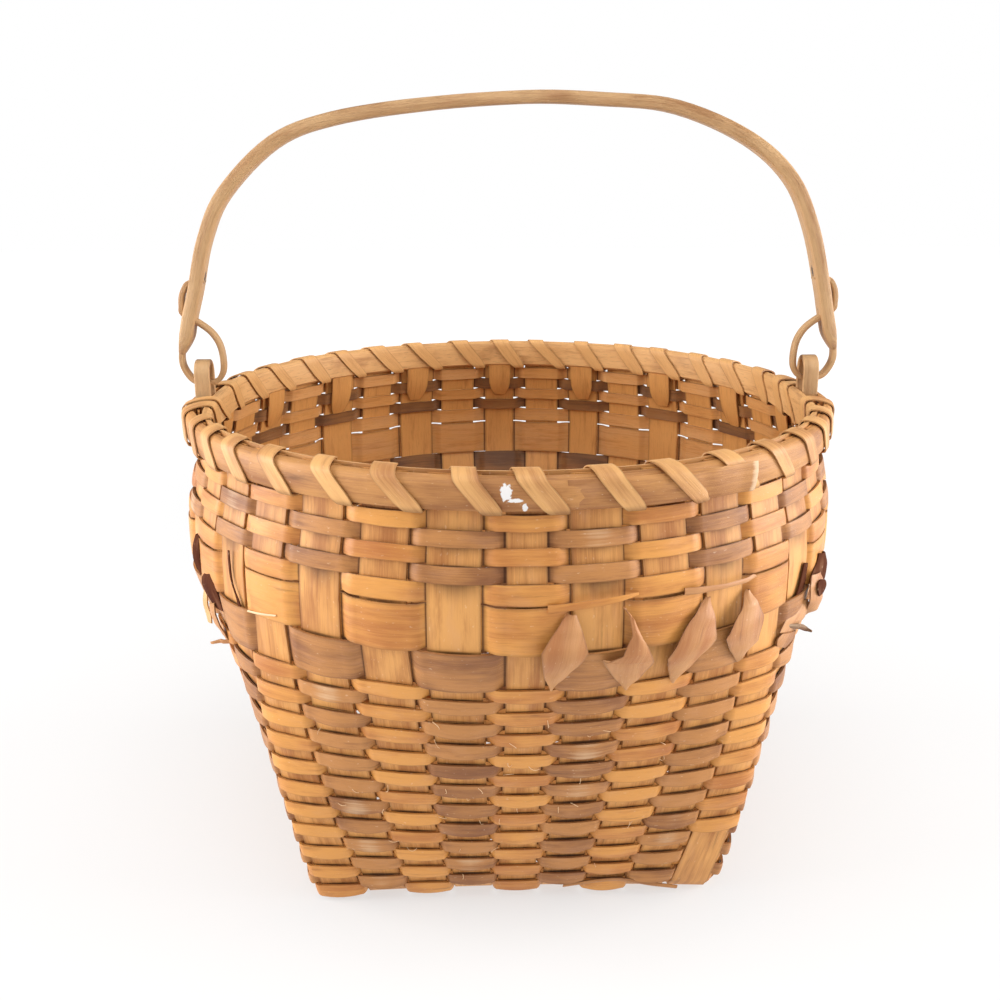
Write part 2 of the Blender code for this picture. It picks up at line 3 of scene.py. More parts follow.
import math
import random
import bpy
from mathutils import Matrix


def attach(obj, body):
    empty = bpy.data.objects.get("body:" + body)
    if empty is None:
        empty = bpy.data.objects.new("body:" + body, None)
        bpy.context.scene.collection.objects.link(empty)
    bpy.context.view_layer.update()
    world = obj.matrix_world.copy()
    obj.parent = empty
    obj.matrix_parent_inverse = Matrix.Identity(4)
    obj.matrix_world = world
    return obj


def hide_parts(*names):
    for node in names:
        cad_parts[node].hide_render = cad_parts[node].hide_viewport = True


bl_info = {
    "name": "Splint Basket",
    "version": (1, 0, 0),
    "blender": (4, 5, 0),
    "location": "View3D > Sidebar > Splint Basket",
    "description": "Weaves the splint basket in worn split wood over its packed frame",
    "category": "Object",
}

import bpy
from bpy.props import FloatProperty, FloatVectorProperty, IntProperty, PointerProperty
from mathutils import Matrix, Vector, noise
from mathutils.geometry import interpolate_bezier

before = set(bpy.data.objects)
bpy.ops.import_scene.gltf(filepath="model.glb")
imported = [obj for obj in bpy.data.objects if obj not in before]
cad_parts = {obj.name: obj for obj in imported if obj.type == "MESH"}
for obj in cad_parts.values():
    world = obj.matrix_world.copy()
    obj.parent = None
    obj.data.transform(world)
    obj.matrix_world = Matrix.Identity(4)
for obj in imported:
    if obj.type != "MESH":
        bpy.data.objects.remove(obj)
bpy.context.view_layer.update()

MM = 0.001
SEAM = 0.02 * MM


# Sizes and colours

def number(name, description, default, **more):
    """Property that holds a plain number."""
    return FloatProperty(name=name, description=description, default=default, **more)


def length(name, description, default):
    """Property that holds a length, its default given in millimetres."""
    return number(name, description, default * MM, min=0.0, unit="LENGTH", subtype="DISTANCE")


def colour(name, description, default):
    """Property that holds a linear colour."""
    return FloatVectorProperty(
        name=name, description=description, default=default, size=3,
        subtype="COLOR", min=0.0, max=1.0,
    )


class BasketSizes(bpy.types.PropertyGroup):
    """Sizes of the weave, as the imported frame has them."""

    per_side: IntProperty(name="Splints per side", description="Uprights on one side", default=9)
    splint_width: length("Splint width", "Width of a splint in the base", 16.5)
    upper_width: length("Upper width", "Usual width of an upright at the bands", 18.4)
    splint_space: length("Splint space", "Space between splints in the base", 2.7)
    splint_thickness: length("Splint thickness", "Thickness of an upright", 0.8)
    gap: length("Gap", "Clearance between pieces that touch", 0.3)
    corner_space: length("Corner space", "Wall beyond the last splint of a side", 3.0)
    corner_cut: length("Corner cut", "How much the base's corner is cut", 1.0)
    shoulder_radius: length("Shoulder radius", "Half width of the wall at the wide bands", 147.5)
    rim_radius: length("Rim radius", "Half width of the wall at the rim", 142.2)
    shoulder: length("Shoulder height", "Height where the wall turns upright", 145.1)
    upper_bottom: length("Upper rows", "Height where the upper rows start", 165.4)
    rim_bottom: length("Rim bottom", "Height of the hoops' lower edge", 198.5)
    rim_top: length("Rim top", "Height of the hoops' upper edge", 212.5)
    row_thickness: length("Row thickness", "Thickness of a woven row", 0.9)
    lower_bottom: length("First row", "Height where the first row starts", 3.2)
    lower_pitch: length("Lower pitch", "Height of one lower row", 5.9)
    upper_pitch: length("Upper pitch", "Height of one upper row", 6.3)
    band_height: length("Band height", "Height of a wide band", 18.0)
    row_space: length("Row space", "Space between two rows", 0.25)
    front_drop: number("Front drop", "How the rim dips towards the front, as a slope", 0.008)
    back_rise: number("Back rise", "How much more the rim rises behind, as a slope", 0.014)
    base_arch: length("Base arch", "How far the middle of each bottom edge is off the floor", 2.2)


class RimSizes(bpy.types.PropertyGroup):
    """Sizes of the hoops, the lashing and the ears."""

    outer_thickness: length("Outer hoop", "Thickness of the outer hoop", 4.2)
    inner_thickness: length("Inner hoop", "Thickness of the inner hoop", 3.4)
    outer_drop: length("Outer hoop drop", "How far its top lies below the inner hoop's", 1.2)
    lashing_width: length("Lashing width", "Width of the lashing splint", 9.2)
    lashing_waist: length("Lashing waist", "Width of the lashing between two uprights", 4.6)
    lashing_thickness: length("Lashing thickness", "Thickness of the lashing", 0.55)
    ear_width: length("Ear width", "Width of an ear's strap", 7.0)
    ear_thickness: length("Ear thickness", "Thickness of an ear's strap", 2.5)
    ear_inside: length("Ear inside", "Space between an ear's legs", 8.2)
    ear_above: length("Ear height", "Height of an ear over the rim", 16.5)


class HandleSizes(bpy.types.PropertyGroup):
    """Sizes of the bent handle."""

    axis_height: length("Axis height", "Height of the hinge axis", 218.134)
    width: length("Handle width", "Width of the bar", 10.8)
    thickness: length("Handle thickness", "Thickness of the bar at its ends", 6.2)
    top_thickness: length("Top thickness", "Thickness of the bar at its top", 5.5)
    shift: length("Handle shift", "How far the tails sit to the right in their ears", 0.9)
    tail_width: length("Tail width", "Width of a tail", 5.4)
    tail_thickness: length("Tail thickness", "Thickness of a tail", 2.3)
    ring: length("Ring height", "Height of a tail's ring", 27.6)
    foot: length("Foot", "Height of the bow's foot over the axis", 43.4)
    rise: length("Rise", "Rise of the bow over its foot", 83.4)


class WoodColours(bpy.types.PropertyGroup):
    """Linear colours of the split wood."""

    light: colour("Light rows", "Honey-coloured rows", (0.68, 0.305, 0.074))
    light_deep: colour("Light rows, deep", "Deeper patches of the light rows", (0.43, 0.150, 0.038))
    light_inside: colour("Light rows, inside", "Light rows inside the basket", (0.72, 0.38, 0.150))
    dark: colour("Dark rows", "Rows whose stain has faded", (0.49, 0.215, 0.066))
    dark_deep: colour("Dark rows, deep", "Deeper patches of the dark rows", (0.225, 0.085, 0.032))
    dark_inside: colour("Dark rows, inside", "Stain kept inside the basket", (0.125, 0.065, 0.034))
    upright: colour("Uprights", "Tan uprights", (0.70, 0.338, 0.102))
    upright_deep: colour("Uprights, deep", "Deeper patches of the uprights", (0.38, 0.140, 0.038))
    twist: colour("Twists", "Pinkish raw side of the curled twists", (0.54, 0.265, 0.105))
    twist_deep: colour("Twists, deep", "Deeper patches of the twists", (0.40, 0.155, 0.055))
    # Red-brown of a curl's hollow and a twist's underside, darkened as painted shade
    twist_inside_red_and_shade: colour("Twists, inside", "Red-brown hollow of a curl", (0.062, 0.016, 0.008))
    # Red-brown skin of a curl, kept as dark as its shaded hollow, so partly painted shade; the dark
    # sheets that stand for shade in the slits, the hollow and the loop's hole are of this wood
    curl: colour("Curls", "Red-brown skin of a curl", (0.100, 0.030, 0.013))
    hoop: colour("Hoops", "Brown hoop wood", (0.54, 0.255, 0.082))
    hoop_deep: colour("Hoops, deep", "Grain lines of the hoops", (0.29, 0.112, 0.038))
    hoop_inside: colour("Hoops, inside", "Paler face of the inner hoop", (0.84, 0.49, 0.205))
    lashing: colour("Lashing", "Pale lashing splint", (0.72, 0.390, 0.145))
    lashing_deep: colour("Lashing, deep", "Deeper patches of the lashing", (0.42, 0.180, 0.060))
    handle: colour("Handle", "Polished handle wood", (0.60, 0.365, 0.175))
    handle_deep: colour("Handle, deep", "Grain lines of the handle", (0.30, 0.125, 0.040))
    raw: colour("Raw wood", "Raw fibres where the surface is worn off", (0.86, 0.66, 0.44))
    # Dirt in pores and burns, and also painted shade, with some dirt, in the tucks of the weave
    grime_and_shade: colour("Grime", "Dirt in the tucks of the weave", (0.060, 0.024, 0.010))


class StageSettings(bpy.types.PropertyGroup):
    """Camera and light."""

    lens: number("Lens", "Focal length", 40.87, unit="CAMERA")
    view_pitch: number("Pitch", "Camera's tilt from the vertical", 1.284523, subtype="ANGLE")
    view_turn: number("Turn", "Camera's turn round the basket", -0.030285, subtype="ANGLE")
    view_roll: number("Roll", "Camera's roll", -0.003, subtype="ANGLE")
    sky: number("Sky", "Strength of the even light from all round", 0.325)
    side_light: number("Side light", "Power of each side light", 28.0)
    top_light: number("Top light", "Power of the light over the basket", 11.0)
    front_light: number("Front light", "Power of the light in front", 6.5)


# Shader recipes

class Signal:
    """One socket of a material, with arithmetic that adds Math nodes."""

    def __init__(self, recipe, socket):
        self.recipe = recipe
        self.socket = socket

    def _math(self, operation, first, second):
        return self.recipe.node("ShaderNodeMath", {"operation": operation}, {0: first, 1: second})

    def __add__(self, other):
        return self._math("ADD", self, other)

    __radd__ = __add__

    def __sub__(self, other):
        return self._math("SUBTRACT", self, other)

    def __rsub__(self, other):
        return self._math("SUBTRACT", other, self)

    def __mul__(self, other):
        return self._math("MULTIPLY", self, other)

    __rmul__ = __mul__

    def ramp(self, low, high):
        """Smooth step of the value from 0 to 1 between two levels."""
        settings = {"interpolation_type": "SMOOTHSTEP"}
        values = {"Value": self, "From Min": low, "From Max": high}
        return self.recipe.node("ShaderNodeMapRange", settings, values)

    def also(self, output):
        """Another output of the same node."""
        return Signal(self.recipe, self.socket.node.outputs[output])


class Recipe:
    """Node tree of one material."""

    def __init__(self, name):
        self.material = bpy.data.materials.new(name)
        self.material.use_nodes = True
        self.tree = self.material.node_tree
        self.shader = self.tree.nodes["Principled BSDF"]

    def node(self, kind, settings=None, values=None, output=0):
        """New node with its settings and inputs, as the signal of one output."""
        made = self.tree.nodes.new(kind)
        for name, value in (settings or {}).items():
            setattr(made, name, value)
        for key, value in (values or {}).items():
            self.feed(made.inputs[key], value)
        return Signal(self, made.outputs[output])

    def feed(self, socket, value):
        """Link a signal to an input, or set its value."""
        if isinstance(value, Signal):
            self.tree.links.new(value.socket, socket)
        elif hasattr(socket.default_value, "__len__") and len(socket.default_value) == 4:
            socket.default_value = (*value[:3], 1.0)
        else:
            socket.default_value = value

    def noise(self, vector, scale, detail, roughness=0.55, stretch=(1.0, 1.0, 1.0)):
        mapped = self.node("ShaderNodeMapping", None, {"Vector": vector, "Scale": stretch})
        values = {"Vector": mapped, "Scale": scale, "Detail": detail, "Roughness": roughness}
        return self.node("ShaderNodeTexNoise", None, values)

    def vector(self, operation, first, second=None, output="Vector"):
        values = {0: first} if second is None else {0: first, 1: second}
        return self.node("ShaderNodeVectorMath", {"operation": operation}, values, output)

    def mix(self, share, first, second):
        settings = {"data_type": "RGBA", "clamp_factor": True}
        return self.node("ShaderNodeMix", settings, {0: share, 6: first, 7: second}, 2)


# Tints that the wood takes in patches, the paint, and the painted shade in the mouths of the
# handle's slots
CLOUD = (0.60, 0.31, 0.17)
WHITE_PAINT = (0.88, 0.87, 0.86)
SLOT_SHADE_COLOUR = (0.03, 0.012, 0.006)

# Spots of white paint on the front of the outer hoop, and painted shade in the mouths of the
# handle's slots: middle in metres, then half width, half depth and half height in millimetres
PAINT = (
    ((-0.0065, -0.147, 0.2050), 2.1, 40.0, 3.3),
    ((-0.0030, -0.147, 0.2020), 2.6, 40.0, 0.8),
    ((0.0002, -0.147, 0.1994), 0.9, 40.0, 1.5),
)
SLOT_SHADE_SPOTS = (
    ((-0.1390, 0.0, 0.2665), 2.4, 1.5, 2.9),
    ((-0.1400, 0.0, 0.2502), 2.4, 1.9, 1.6),
    ((0.1412, 0.0, 0.2680), 2.4, 1.4, 2.9),
    ((0.1424, 0.0, 0.2502), 2.4, 1.9, 1.6),
)


def split_wood(name, shades, pale, deep, inside, grain, gloss):
    """Split wood whose grain runs along the piece's own UV map.

    The finish attribute holds the tone, the painted shade and dirt in the tucks of the weave
    (above a half the outer face is darkened there, below it the inner face), the place across
    the splint, and as its alpha how much of the surface is worn to raw fibres.
    """
    recipe = Recipe(name)
    raw, grime_and_shade = shades.raw, shades.grime_and_shade
    along = recipe.node("ShaderNodeUVMap", {"uv_map": "grain"})
    finish = recipe.node("ShaderNodeAttribute", {"attribute_name": "finish"})
    worn = finish.also("Alpha")
    tone = recipe.node("ShaderNodeSeparateColor", None, {"Color": finish})
    tuck_dirt_and_shade, across = tone.also(1), tone.also(2)
    patches = recipe.noise(along, 1.0, 3.0, 0.5, (26.0, 90.0, 1.0))
    clouds = recipe.noise(along, 1.0, 2.0, 0.5, (60.0, 160.0, 4.0))
    streaks = recipe.noise(along, 1.0, 5.0, 0.62, (18.0, 700.0, 1.0))
    fibres = recipe.noise(along, 1.0, 6.0, 0.7, (70.0, 2600.0, 1.0))
    pores = recipe.noise(along, 1.0, 3.0, 0.6, (160.0, 5200.0, 1.0))
    flecks = recipe.noise(along, 1.0, 2.0, 0.5, (420.0, 900.0, 1.0))
    stains = recipe.noise(along, 1.0, 4.0, 0.65, (30.0, 230.0, 1.0))
    burns = recipe.noise(along, 1.0, 5.0, 0.7, (24.0, 290.0, 1.0))
    where = recipe.node("ShaderNodeTexCoord", output="Object")
    radial = recipe.vector("NORMALIZE", recipe.vector("MULTIPLY", where, (1.0, 1.0, 0.0)))
    facing = recipe.node("ShaderNodeNewGeometry", output="Normal")
    inner = recipe.vector("DOT_PRODUCT", radial, facing, "Value").ramp(0.12, -0.12)
    mood = 0.54 + tone * 0.55 + (patches - 0.5) * 1.7
    mood = mood + (streaks - 0.5) * 0.8 + (fibres - 0.5) * 0.8
    base = recipe.mix(mood.ramp(0.08, 0.95), deep, pale)
    base = recipe.mix(clouds.ramp(0.5, 0.75) * 0.18, base, CLOUD)
    strands = streaks * 0.45 + fibres * 0.55
    lines = strands.ramp(0.54, 0.68) * (0.32 * grain)
    base = recipe.mix(lines, base, deep)
    base = recipe.mix(pores.ramp(0.58, 0.70) * (0.2 * grain), base, grime_and_shade)
    base = recipe.mix(stains.ramp(0.52, 0.74) * 0.6, base, deep)
    base = recipe.mix(burns.ramp(0.58, 0.78) * 0.5, base, grime_and_shade)
    base = recipe.mix(flecks.ramp(0.66, 0.76) * 0.25, base, raw)
    base = recipe.mix((worn * 1.6 + streaks - 1.0).ramp(0.15, 0.75) * 0.5, base, raw)
    lined = recipe.mix(mood.ramp(0.2, 0.95), inside, recipe.mix(0.5, inside, pale))
    lined = recipe.mix(strands.ramp(0.50, 0.66) * 0.45, lined, deep)
    lined = recipe.mix(stains.ramp(0.50, 0.74) * 0.5, lined, deep)
    lined = recipe.mix(pores.ramp(0.55, 0.70) * 0.3, lined, grime_and_shade)
    base = recipe.mix(inner * 0.85, base, lined)
    edge = across.ramp(0.86, 1.0)
    base = recipe.mix(edge * (0.12 + 0.35 * stains), base, grime_and_shade)
    # Painted shade, with some dirt, darkens the faces in the tucks of the weave
    shade_and_dirt_in_tucks = tuck_dirt_and_shade.ramp(0.55, 0.9) * (1.0 - inner) + tuck_dirt_and_shade.ramp(0.45, 0.1) * inner
    base = recipe.mix(shade_and_dirt_in_tucks * 0.8, base, grime_and_shade)
    if name in ("hoop", "lashing"):
        base = paint_over(recipe, base, PAINT, WHITE_PAINT)
    # Painted shade in the mouths of the slots where the tails go into the bar
    if name == "handle":
        base = paint_over(recipe, base, SLOT_SHADE_SPOTS, SLOT_SHADE_COLOUR)
    recipe.feed(recipe.shader.inputs["Base Color"], base)
    rough = 0.66 - 0.22 * gloss - 0.12 * patches + 0.16 * lines + 0.2 * shade_and_dirt_in_tucks
    recipe.feed(recipe.shader.inputs["Roughness"], rough)
    recipe.shader.inputs["Specular IOR Level"].default_value = 0.30 if gloss > 0.0 else 0.03
    height = fibres * 0.5 + pores * 0.3 + streaks * 0.6
    values = {"Strength": 0.45 * grain, "Distance": 0.5 * MM, "Height": height}
    bump = recipe.node("ShaderNodeBump", None, values)
    recipe.feed(recipe.shader.inputs["Normal"], bump)
    return recipe.material


def paint_over(recipe, base, spots, shade):
    """Ragged spots of another colour over part of a colour."""
    where = recipe.node("ShaderNodeTexCoord", output="Object")
    ragged = recipe.noise(where, 900.0, 3.0)
    for middle, *halves in spots:
        away = recipe.vector("SUBTRACT", where, middle)
        scaled = recipe.vector("MULTIPLY", away, [1.0 / (half * MM) for half in halves])
        distance = recipe.vector("LENGTH", scaled, output="Value")
        base = recipe.mix((distance + ragged * 1.4).ramp(1.8, 1.55) * 0.92, base, shade)
    return base


def plain_stage(name, shade, glow, bounce):
    """Floor that glows white to the camera, greyer near the basket, and takes its shadow."""
    recipe = Recipe(name)
    seen = recipe.node("ShaderNodeLightPath")
    where = recipe.node("ShaderNodeTexCoord", output="Object")
    away = recipe.vector("LENGTH", where, output="Value")
    shown = recipe.mix(away.ramp(0.3, 1.8), (0.64, 0.64, 0.64), (1.0, 1.0, 1.0))
    # To all rays but the camera's the floor glows at the bounce level, so it lights the basket from
    # below though it is no lamp
    glow_colour = recipe.mix(seen, (bounce, bounce, bounce), shown)
    recipe.feed(recipe.shader.inputs["Emission Color"], glow_colour)
    for socket, value in (
        ("Base Color", (shade, shade, shade)), ("Roughness", 0.9),
        ("Specular IOR Level", 0.1), ("Emission Strength", glow),
    ):
        recipe.feed(recipe.shader.inputs[socket], value)
    return recipe.material


MATERIALS = {}


def wood(kind):
    """Material of one kind of wood, made when it is first asked for.

    A kind has its pale, deep and inside colours, the strength of its grain and its gloss.
    """
    if kind not in MATERIALS:
        shades = bpy.context.scene.wood_colours
        kinds = {
            "light_row": (shades.light, shades.light_deep, shades.light_inside, 0.8, 0.75),
            "dark_row": (shades.dark, shades.dark_deep, shades.dark_inside, 1.1, 0.55),
            "upright": (shades.upright, shades.upright_deep, shades.upright, 0.45, 0.55),
            "twist": (shades.twist, shades.twist_deep, shades.twist_inside_red_and_shade, 0.8, 0.6),
            "curl": (shades.curl, shades.twist_inside_red_and_shade, shades.twist_inside_red_and_shade, 0.8, -0.6),
            "tip": (shades.upright, shades.upright_deep, shades.upright, 1.0, 0.55),
            "hoop": (shades.hoop, shades.hoop_deep, shades.hoop_inside, 1.3, 0.45),
            "lashing": (shades.lashing, shades.lashing_deep, shades.lashing, 0.9, 0.6),
            "ear": (shades.handle, shades.handle_deep, shades.handle, 1.8, 0.7),
            "handle": (shades.handle, shades.handle_deep, shades.handle, 2.4, 0.8),
        }
        MATERIALS[kind] = split_wood(kind, shades, *kinds[kind])
    return MATERIALS[kind]


# Mesh helpers

def smooth(value):
    """Smooth step from 0 to 1."""
    value = min(max(value, 0.0), 1.0)
    return value * value * (3.0 - 2.0 * value)


def wander(seed, at):
    """Smooth noise between -1 and 1 along a piece."""
    return noise.noise(Vector((at, seed * 7.13, seed * 3.7 + 0.5)))


def deselect():
    """Leave edit mode with nothing selected."""
    if bpy.context.object and bpy.context.object.mode != "OBJECT":
        bpy.ops.object.mode_set(mode="OBJECT")
    bpy.ops.object.select_all(action="DESELECT")


def pick(item):
    """Make one piece the only one selected."""
    deselect()
    bpy.context.view_layer.objects.active = item
    item.select_set(True)


def edit(item):
    """Open a piece for editing with all of it selected."""
    pick(item)
    bpy.ops.object.mode_set(mode="EDIT")
    bpy.ops.mesh.select_all(action="SELECT")


def apply_modifier(item, kind, **settings):
    """Add a modifier to a piece and apply it."""
    modifier = item.modifiers.new(kind.title(), kind)
    for name, value in settings.items():
        setattr(modifier, name, value)
    pick(item)
    bpy.ops.object.modifier_apply(modifier=modifier.name)


def lengths_along(points):
    """Distance along a line at each of its points."""
    runs = [0.0]
    for here, there in zip(points, points[1:]):
        runs.append(runs[-1] + (there - here).length)
    return runs


def lay_grain(table, start, first, last):
    """Set how far along the grain each station lies, by the middles between two of its cells."""
    middles = [(station[first][0] + station[last][0]) / 2.0 for station in table]
    for run, station in zip(lengths_along(middles), table):
        for cell in station:
            cell[1] = run + start


def sheet_of_wood(name, table, closed=False):
    """Grid primitive laid along stations.

    Each station lists its cells across the splint, and a cell holds its point,
    its place along and across the grain, and its finish.
    """
    columns = len(table)
    rows = len(table[0])
    deselect()
    bpy.ops.mesh.primitive_grid_add(x_subdivisions=columns - 1, y_subdivisions=rows - 1, size=1.0)
    item = bpy.context.object
    item.name = name
    mesh = item.data
    mesh.name = name
    order = sorted(range(len(mesh.vertices)), key=lambda at: (
        round(mesh.vertices[at].co.x, 5), mesh.vertices[at].co.y,
    ))
    flat = [cell for station in table for cell in station]
    lookup = {}
    finish = mesh.attributes.new("finish", "FLOAT_COLOR", "POINT")
    for at, cell in zip(order, flat):
        mesh.vertices[at].co = cell[0]
        finish.data[at].color = cell[3]
        lookup[at] = (cell[1], cell[2])
    layer = mesh.uv_layers[0]
    layer.name = "grain"
    for loop in mesh.loops:
        layer.data[loop.index].uv = lookup[loop.vertex_index]
    if closed:
        edit(item)
        bpy.ops.mesh.remove_doubles(threshold=SEAM)
        bpy.ops.mesh.normals_make_consistent(inside=False)
        bpy.ops.object.mode_set(mode="OBJECT")
    return item


def finish_of(tone, tuck_dirt_and_shade, across, worn=0.0):
    """Finish of one cell; its painted shade and dirt in the tucks runs from -1, inner face
    darkened, to 1, outer face darkened.
    """
    return (tone, 0.5 + 0.5 * tuck_dirt_and_shade, across, worn)


def thicken(item, thickness, edge=0.0, offset=0.0, segments=2, even=True):
    """Give a sheet its thickness and soften its edges."""
    apply_modifier(item, "SOLIDIFY", thickness=thickness, offset=offset, use_even_offset=even)
    if edge:
        apply_modifier(
            item, "BEVEL", width=edge, segments=segments, limit_method="ANGLE",
            angle_limit=math.radians(50.0),
        )


# Height over which the arch of the bottom edges dies out
ARCH_REACH = 0.045


def settle(item):
    """Let the basket lean and its bottom edges arch a little, as old ones do."""
    size = bpy.context.scene.basket_sizes
    half = size.per_side * (size.splint_width + size.splint_space) / 2.0
    for vertex in item.data.vertices:
        point = vertex.co
        low = max(0.0, 1.0 - point.z / ARCH_REACH)
        edge = min(max(abs(point.x), abs(point.y)) / half, 1.0)
        along = min(min(abs(point.x), abs(point.y)) / half, 1.0)
        lift = size.base_arch * low * low * edge ** 4 * (1.0 - along * along)
        lean = size.front_drop * point.y + size.back_rise * max(point.y, 0.0)
        point.z += lift + lean * point.z / size.rim_top


def finish_piece(item, slot, body, *nodes, kind=None):
    """Outward normals, shading, material, and its place in the frame."""
    if body == "basket":
        settle(item)
    edit(item)
    bpy.ops.mesh.normals_make_consistent(inside=False)
    bpy.ops.object.mode_set(mode="OBJECT")
    bpy.ops.object.shade_smooth_by_angle(angle=math.radians(38.0))
    item.data.materials.clear()
    item.data.materials.append(wood(kind or slot))
    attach(item, body)
    if nodes:
        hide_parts(*nodes)
    return item


def join(items, name):
    """Join pieces into one."""
    deselect()
    for item in items:
        item.select_set(True)
    bpy.context.view_layer.objects.active = items[0]
    bpy.ops.object.join()
    joined = bpy.context.object
    joined.name = name
    joined.data.name = name
    return joined


# Wall of the basket

# Widths of the front uprights at the bands in millimetres, left to right, their tones,
# and how far each has slipped along the wall there, in shares of the usual spacing
FRONT_WIDTHS = (17.8, 18.6, 18.8, 20.0, 14.6, 19.2, 19.0, 18.6, 18.0)
FRONT_TONES = (-0.35, -0.85, 0.0, -0.1, 0.05, -0.45, 0.1, -0.5, 0.2)
FRONT_SLIPS = (-0.20, -0.13, -0.05, 0.0, 0.04, 0.06, 0.12, 0.19, 0.22)

# Height over which the uprights widen and slip, where their feet end, and the wide bands'
# lower and upper ends with the length over which the paler wood there fades
WIDEN_HEIGHT = 115.0 * MM
FOOT = 6.0 * MM
BAND_LOW = 138.0 * MM
BAND_HIGH = 174.0 * MM
BAND_FADE = 8.0 * MM

# Places across a splint where its stations have cells
ACROSS = (-1.0, -0.6, -0.2, 0.2, 0.6, 1.0)


class Wall:
    """Surface that the middle of the uprights follows, from square base to round rim."""

    def __init__(self):
        self.size = bpy.context.scene.basket_sizes
        size = self.size
        self.places = 4 * size.per_side
        self.pitch = size.splint_width + size.splint_space
        self.last_edge = (size.per_side - 1) / 2.0 + 0.5 * size.splint_width / self.pitch
        self.base_half = self.last_edge * self.pitch + size.corner_space
        self.ears = (1.5 * size.per_side, 3.5 * size.per_side)
        chance = random.Random(41)
        self.widths = [
            size.upper_width + chance.uniform(-1.6, 1.4) * MM for _ in range(self.places)
        ]
        self.slips = [0.0] * self.places
        for index, (width, slip) in enumerate(zip(FRONT_WIDTHS, FRONT_SLIPS)):
            self.widths[index] = width * MM
            self.slips[index] = slip
        for step, share in ((1, 0.85), (2, 0.5), (3, 0.2)):
            self.slips[-step] = share * FRONT_SLIPS[0]
            self.slips[len(FRONT_SLIPS) - 1 + step] = share * FRONT_SLIPS[-1]

    def square(self, place):
        """Outline of the base with its cut corners, for a half width of 1."""
        side, along = divmod(place % self.places, self.size.per_side)
        half = self.size.per_side / 2.0
        steps = along - half
        past = max(0.0, abs(steps) - self.last_edge) / (half - self.last_edge)
        across = abs(steps) * self.pitch
        across += past * (self.base_half - half * self.pitch - self.size.corner_cut)
        out = self.base_half - past * self.size.corner_cut
        turn = Matrix.Rotation(side * math.pi / 2.0, 2)
        return turn @ Vector((math.copysign(across, steps), -out)) / self.base_half

    def round(self, place):
        """Outline of the rim, for a radius of 1."""
        angle = self.angle(place)
        return Vector((math.cos(angle), math.sin(angle)))

    def angle(self, place):
        """Angle of a place; places count the uprights from the front left corner."""
        return 2.0 * math.pi * place / self.places - 0.75 * math.pi

    def half_width(self, height):
        """Half width of the wall at a height."""
        size = self.size
        if height < size.shoulder:
            share = height / size.shoulder
            return self.base_half + share * (size.shoulder_radius - self.base_half)
        share = (height - size.upper_bottom) / (size.rim_bottom - size.upper_bottom)
        return size.shoulder_radius + smooth(share) * (size.rim_radius - size.shoulder_radius)

    def point(self, place, height):
        """Point of the wall, square at its foot and round from the shoulder up."""
        roundness = min(max(height, 0.0) / self.size.shoulder, 1.0)
        outline = self.square(place).lerp(self.round(place), roundness)
        point = outline * self.half_width(height)
        return Vector((point.x, point.y, height))

    def frame(self, place, height):
        """Point, outward direction and spacing of the uprights there."""
        before = self.point(place - 0.2, height)
        after = self.point(place + 0.2, height)
        along = after - before
        step = 3.0 * MM
        up = self.point(place, height + step) - self.point(place, height - step)
        out = along.cross(up).normalized()
        return self.point(place, height), out, along.length / 0.4

    def on(self, place, height, out):
        """Point that stands off the wall."""
        point, normal, _spacing = self.frame(place, height)
        return point + normal * out

    def upright(self, index, height):
        """Middle and half width of an upright at a height, in places."""
        rise = smooth(height / WIDEN_HEIGHT)
        index, turns = index % self.places, index // self.places
        middle = index + 0.5 + rise * self.slips[index]
        spacing = self.frame(middle, height)[2]
        width = self.size.splint_width + rise * (self.widths[index] - self.size.splint_width)
        return middle + turns * self.places, 0.5 * width / spacing

    def between(self, turn, height):
        """Middle of the space before an upright, in places."""
        before, half_before = self.upright(turn - 1, height)
        after, half_after = self.upright(turn, height)
        return 0.5 * (before + half_before + after - half_after)


# Woven rows

class RowPlan:
    """Where one woven row runs and how its floats look."""

    def __init__(self, name, color, bottom, height, seed):
        self.name = name
        self.color = color
        self.bottom = bottom
        self.height = height
        self.seed = seed
        self.wide = name.startswith("wide")
        self.lower = name.startswith("lower")
        self.tone = 0.0
        if color == "dark_row":
            self.tone = 0.35 - 0.05 * max(0, 11 - seed) if self.lower else -0.25
        self.hang = 1.5 * MM if name == "upper_row_1" else 0.0

    def outside(self, index):
        """Whether the row passes outside an upright."""
        return (index % 2 == 0) == (self.color == "light_row") and (self.name, index) not in TORN

    def bulge(self, chance):
        """How far the middle of a float stands off, in millimetres."""
        if self.wide:
            return chance.uniform(0.9, 1.5)
        if not self.lower:
            return chance.uniform(0.25, 0.75)
        low, high = (0.3, 1.0) if self.color == "light_row" else (0.8, 1.7)
        return chance.uniform(low, high)


def row_plans(size):
    """Every woven row, from the floor up."""
    plans = []
    bottom = size.lower_bottom
    for number in range(21):
        color = "dark_row" if number % 2 else "light_row"
        name = f"lower_row_{number + 1:02d}"
        plans.append(RowPlan(name, color, bottom, size.lower_pitch, number))
        bottom += size.lower_pitch
    for name, color in (("wide_band_dark", "dark_row"), ("wide_band_light", "light_row")):
        plans.append(RowPlan(name, color, bottom, size.band_height, len(plans)))
        bottom += size.band_height
    bottom = size.upper_bottom
    for number in range(5):
        color = "dark_row" if number % 2 else "light_row"
        name = f"upper_row_{number + 1}"
        plans.append(RowPlan(name, color, bottom, size.upper_pitch, len(plans)))
        bottom += size.upper_pitch
    return plans


# Floats torn off the front right corner's upright, which the row now passes inside
TORN = {("lower_row_01", 8), ("lower_row_03", 8), ("lower_row_05", 8)}


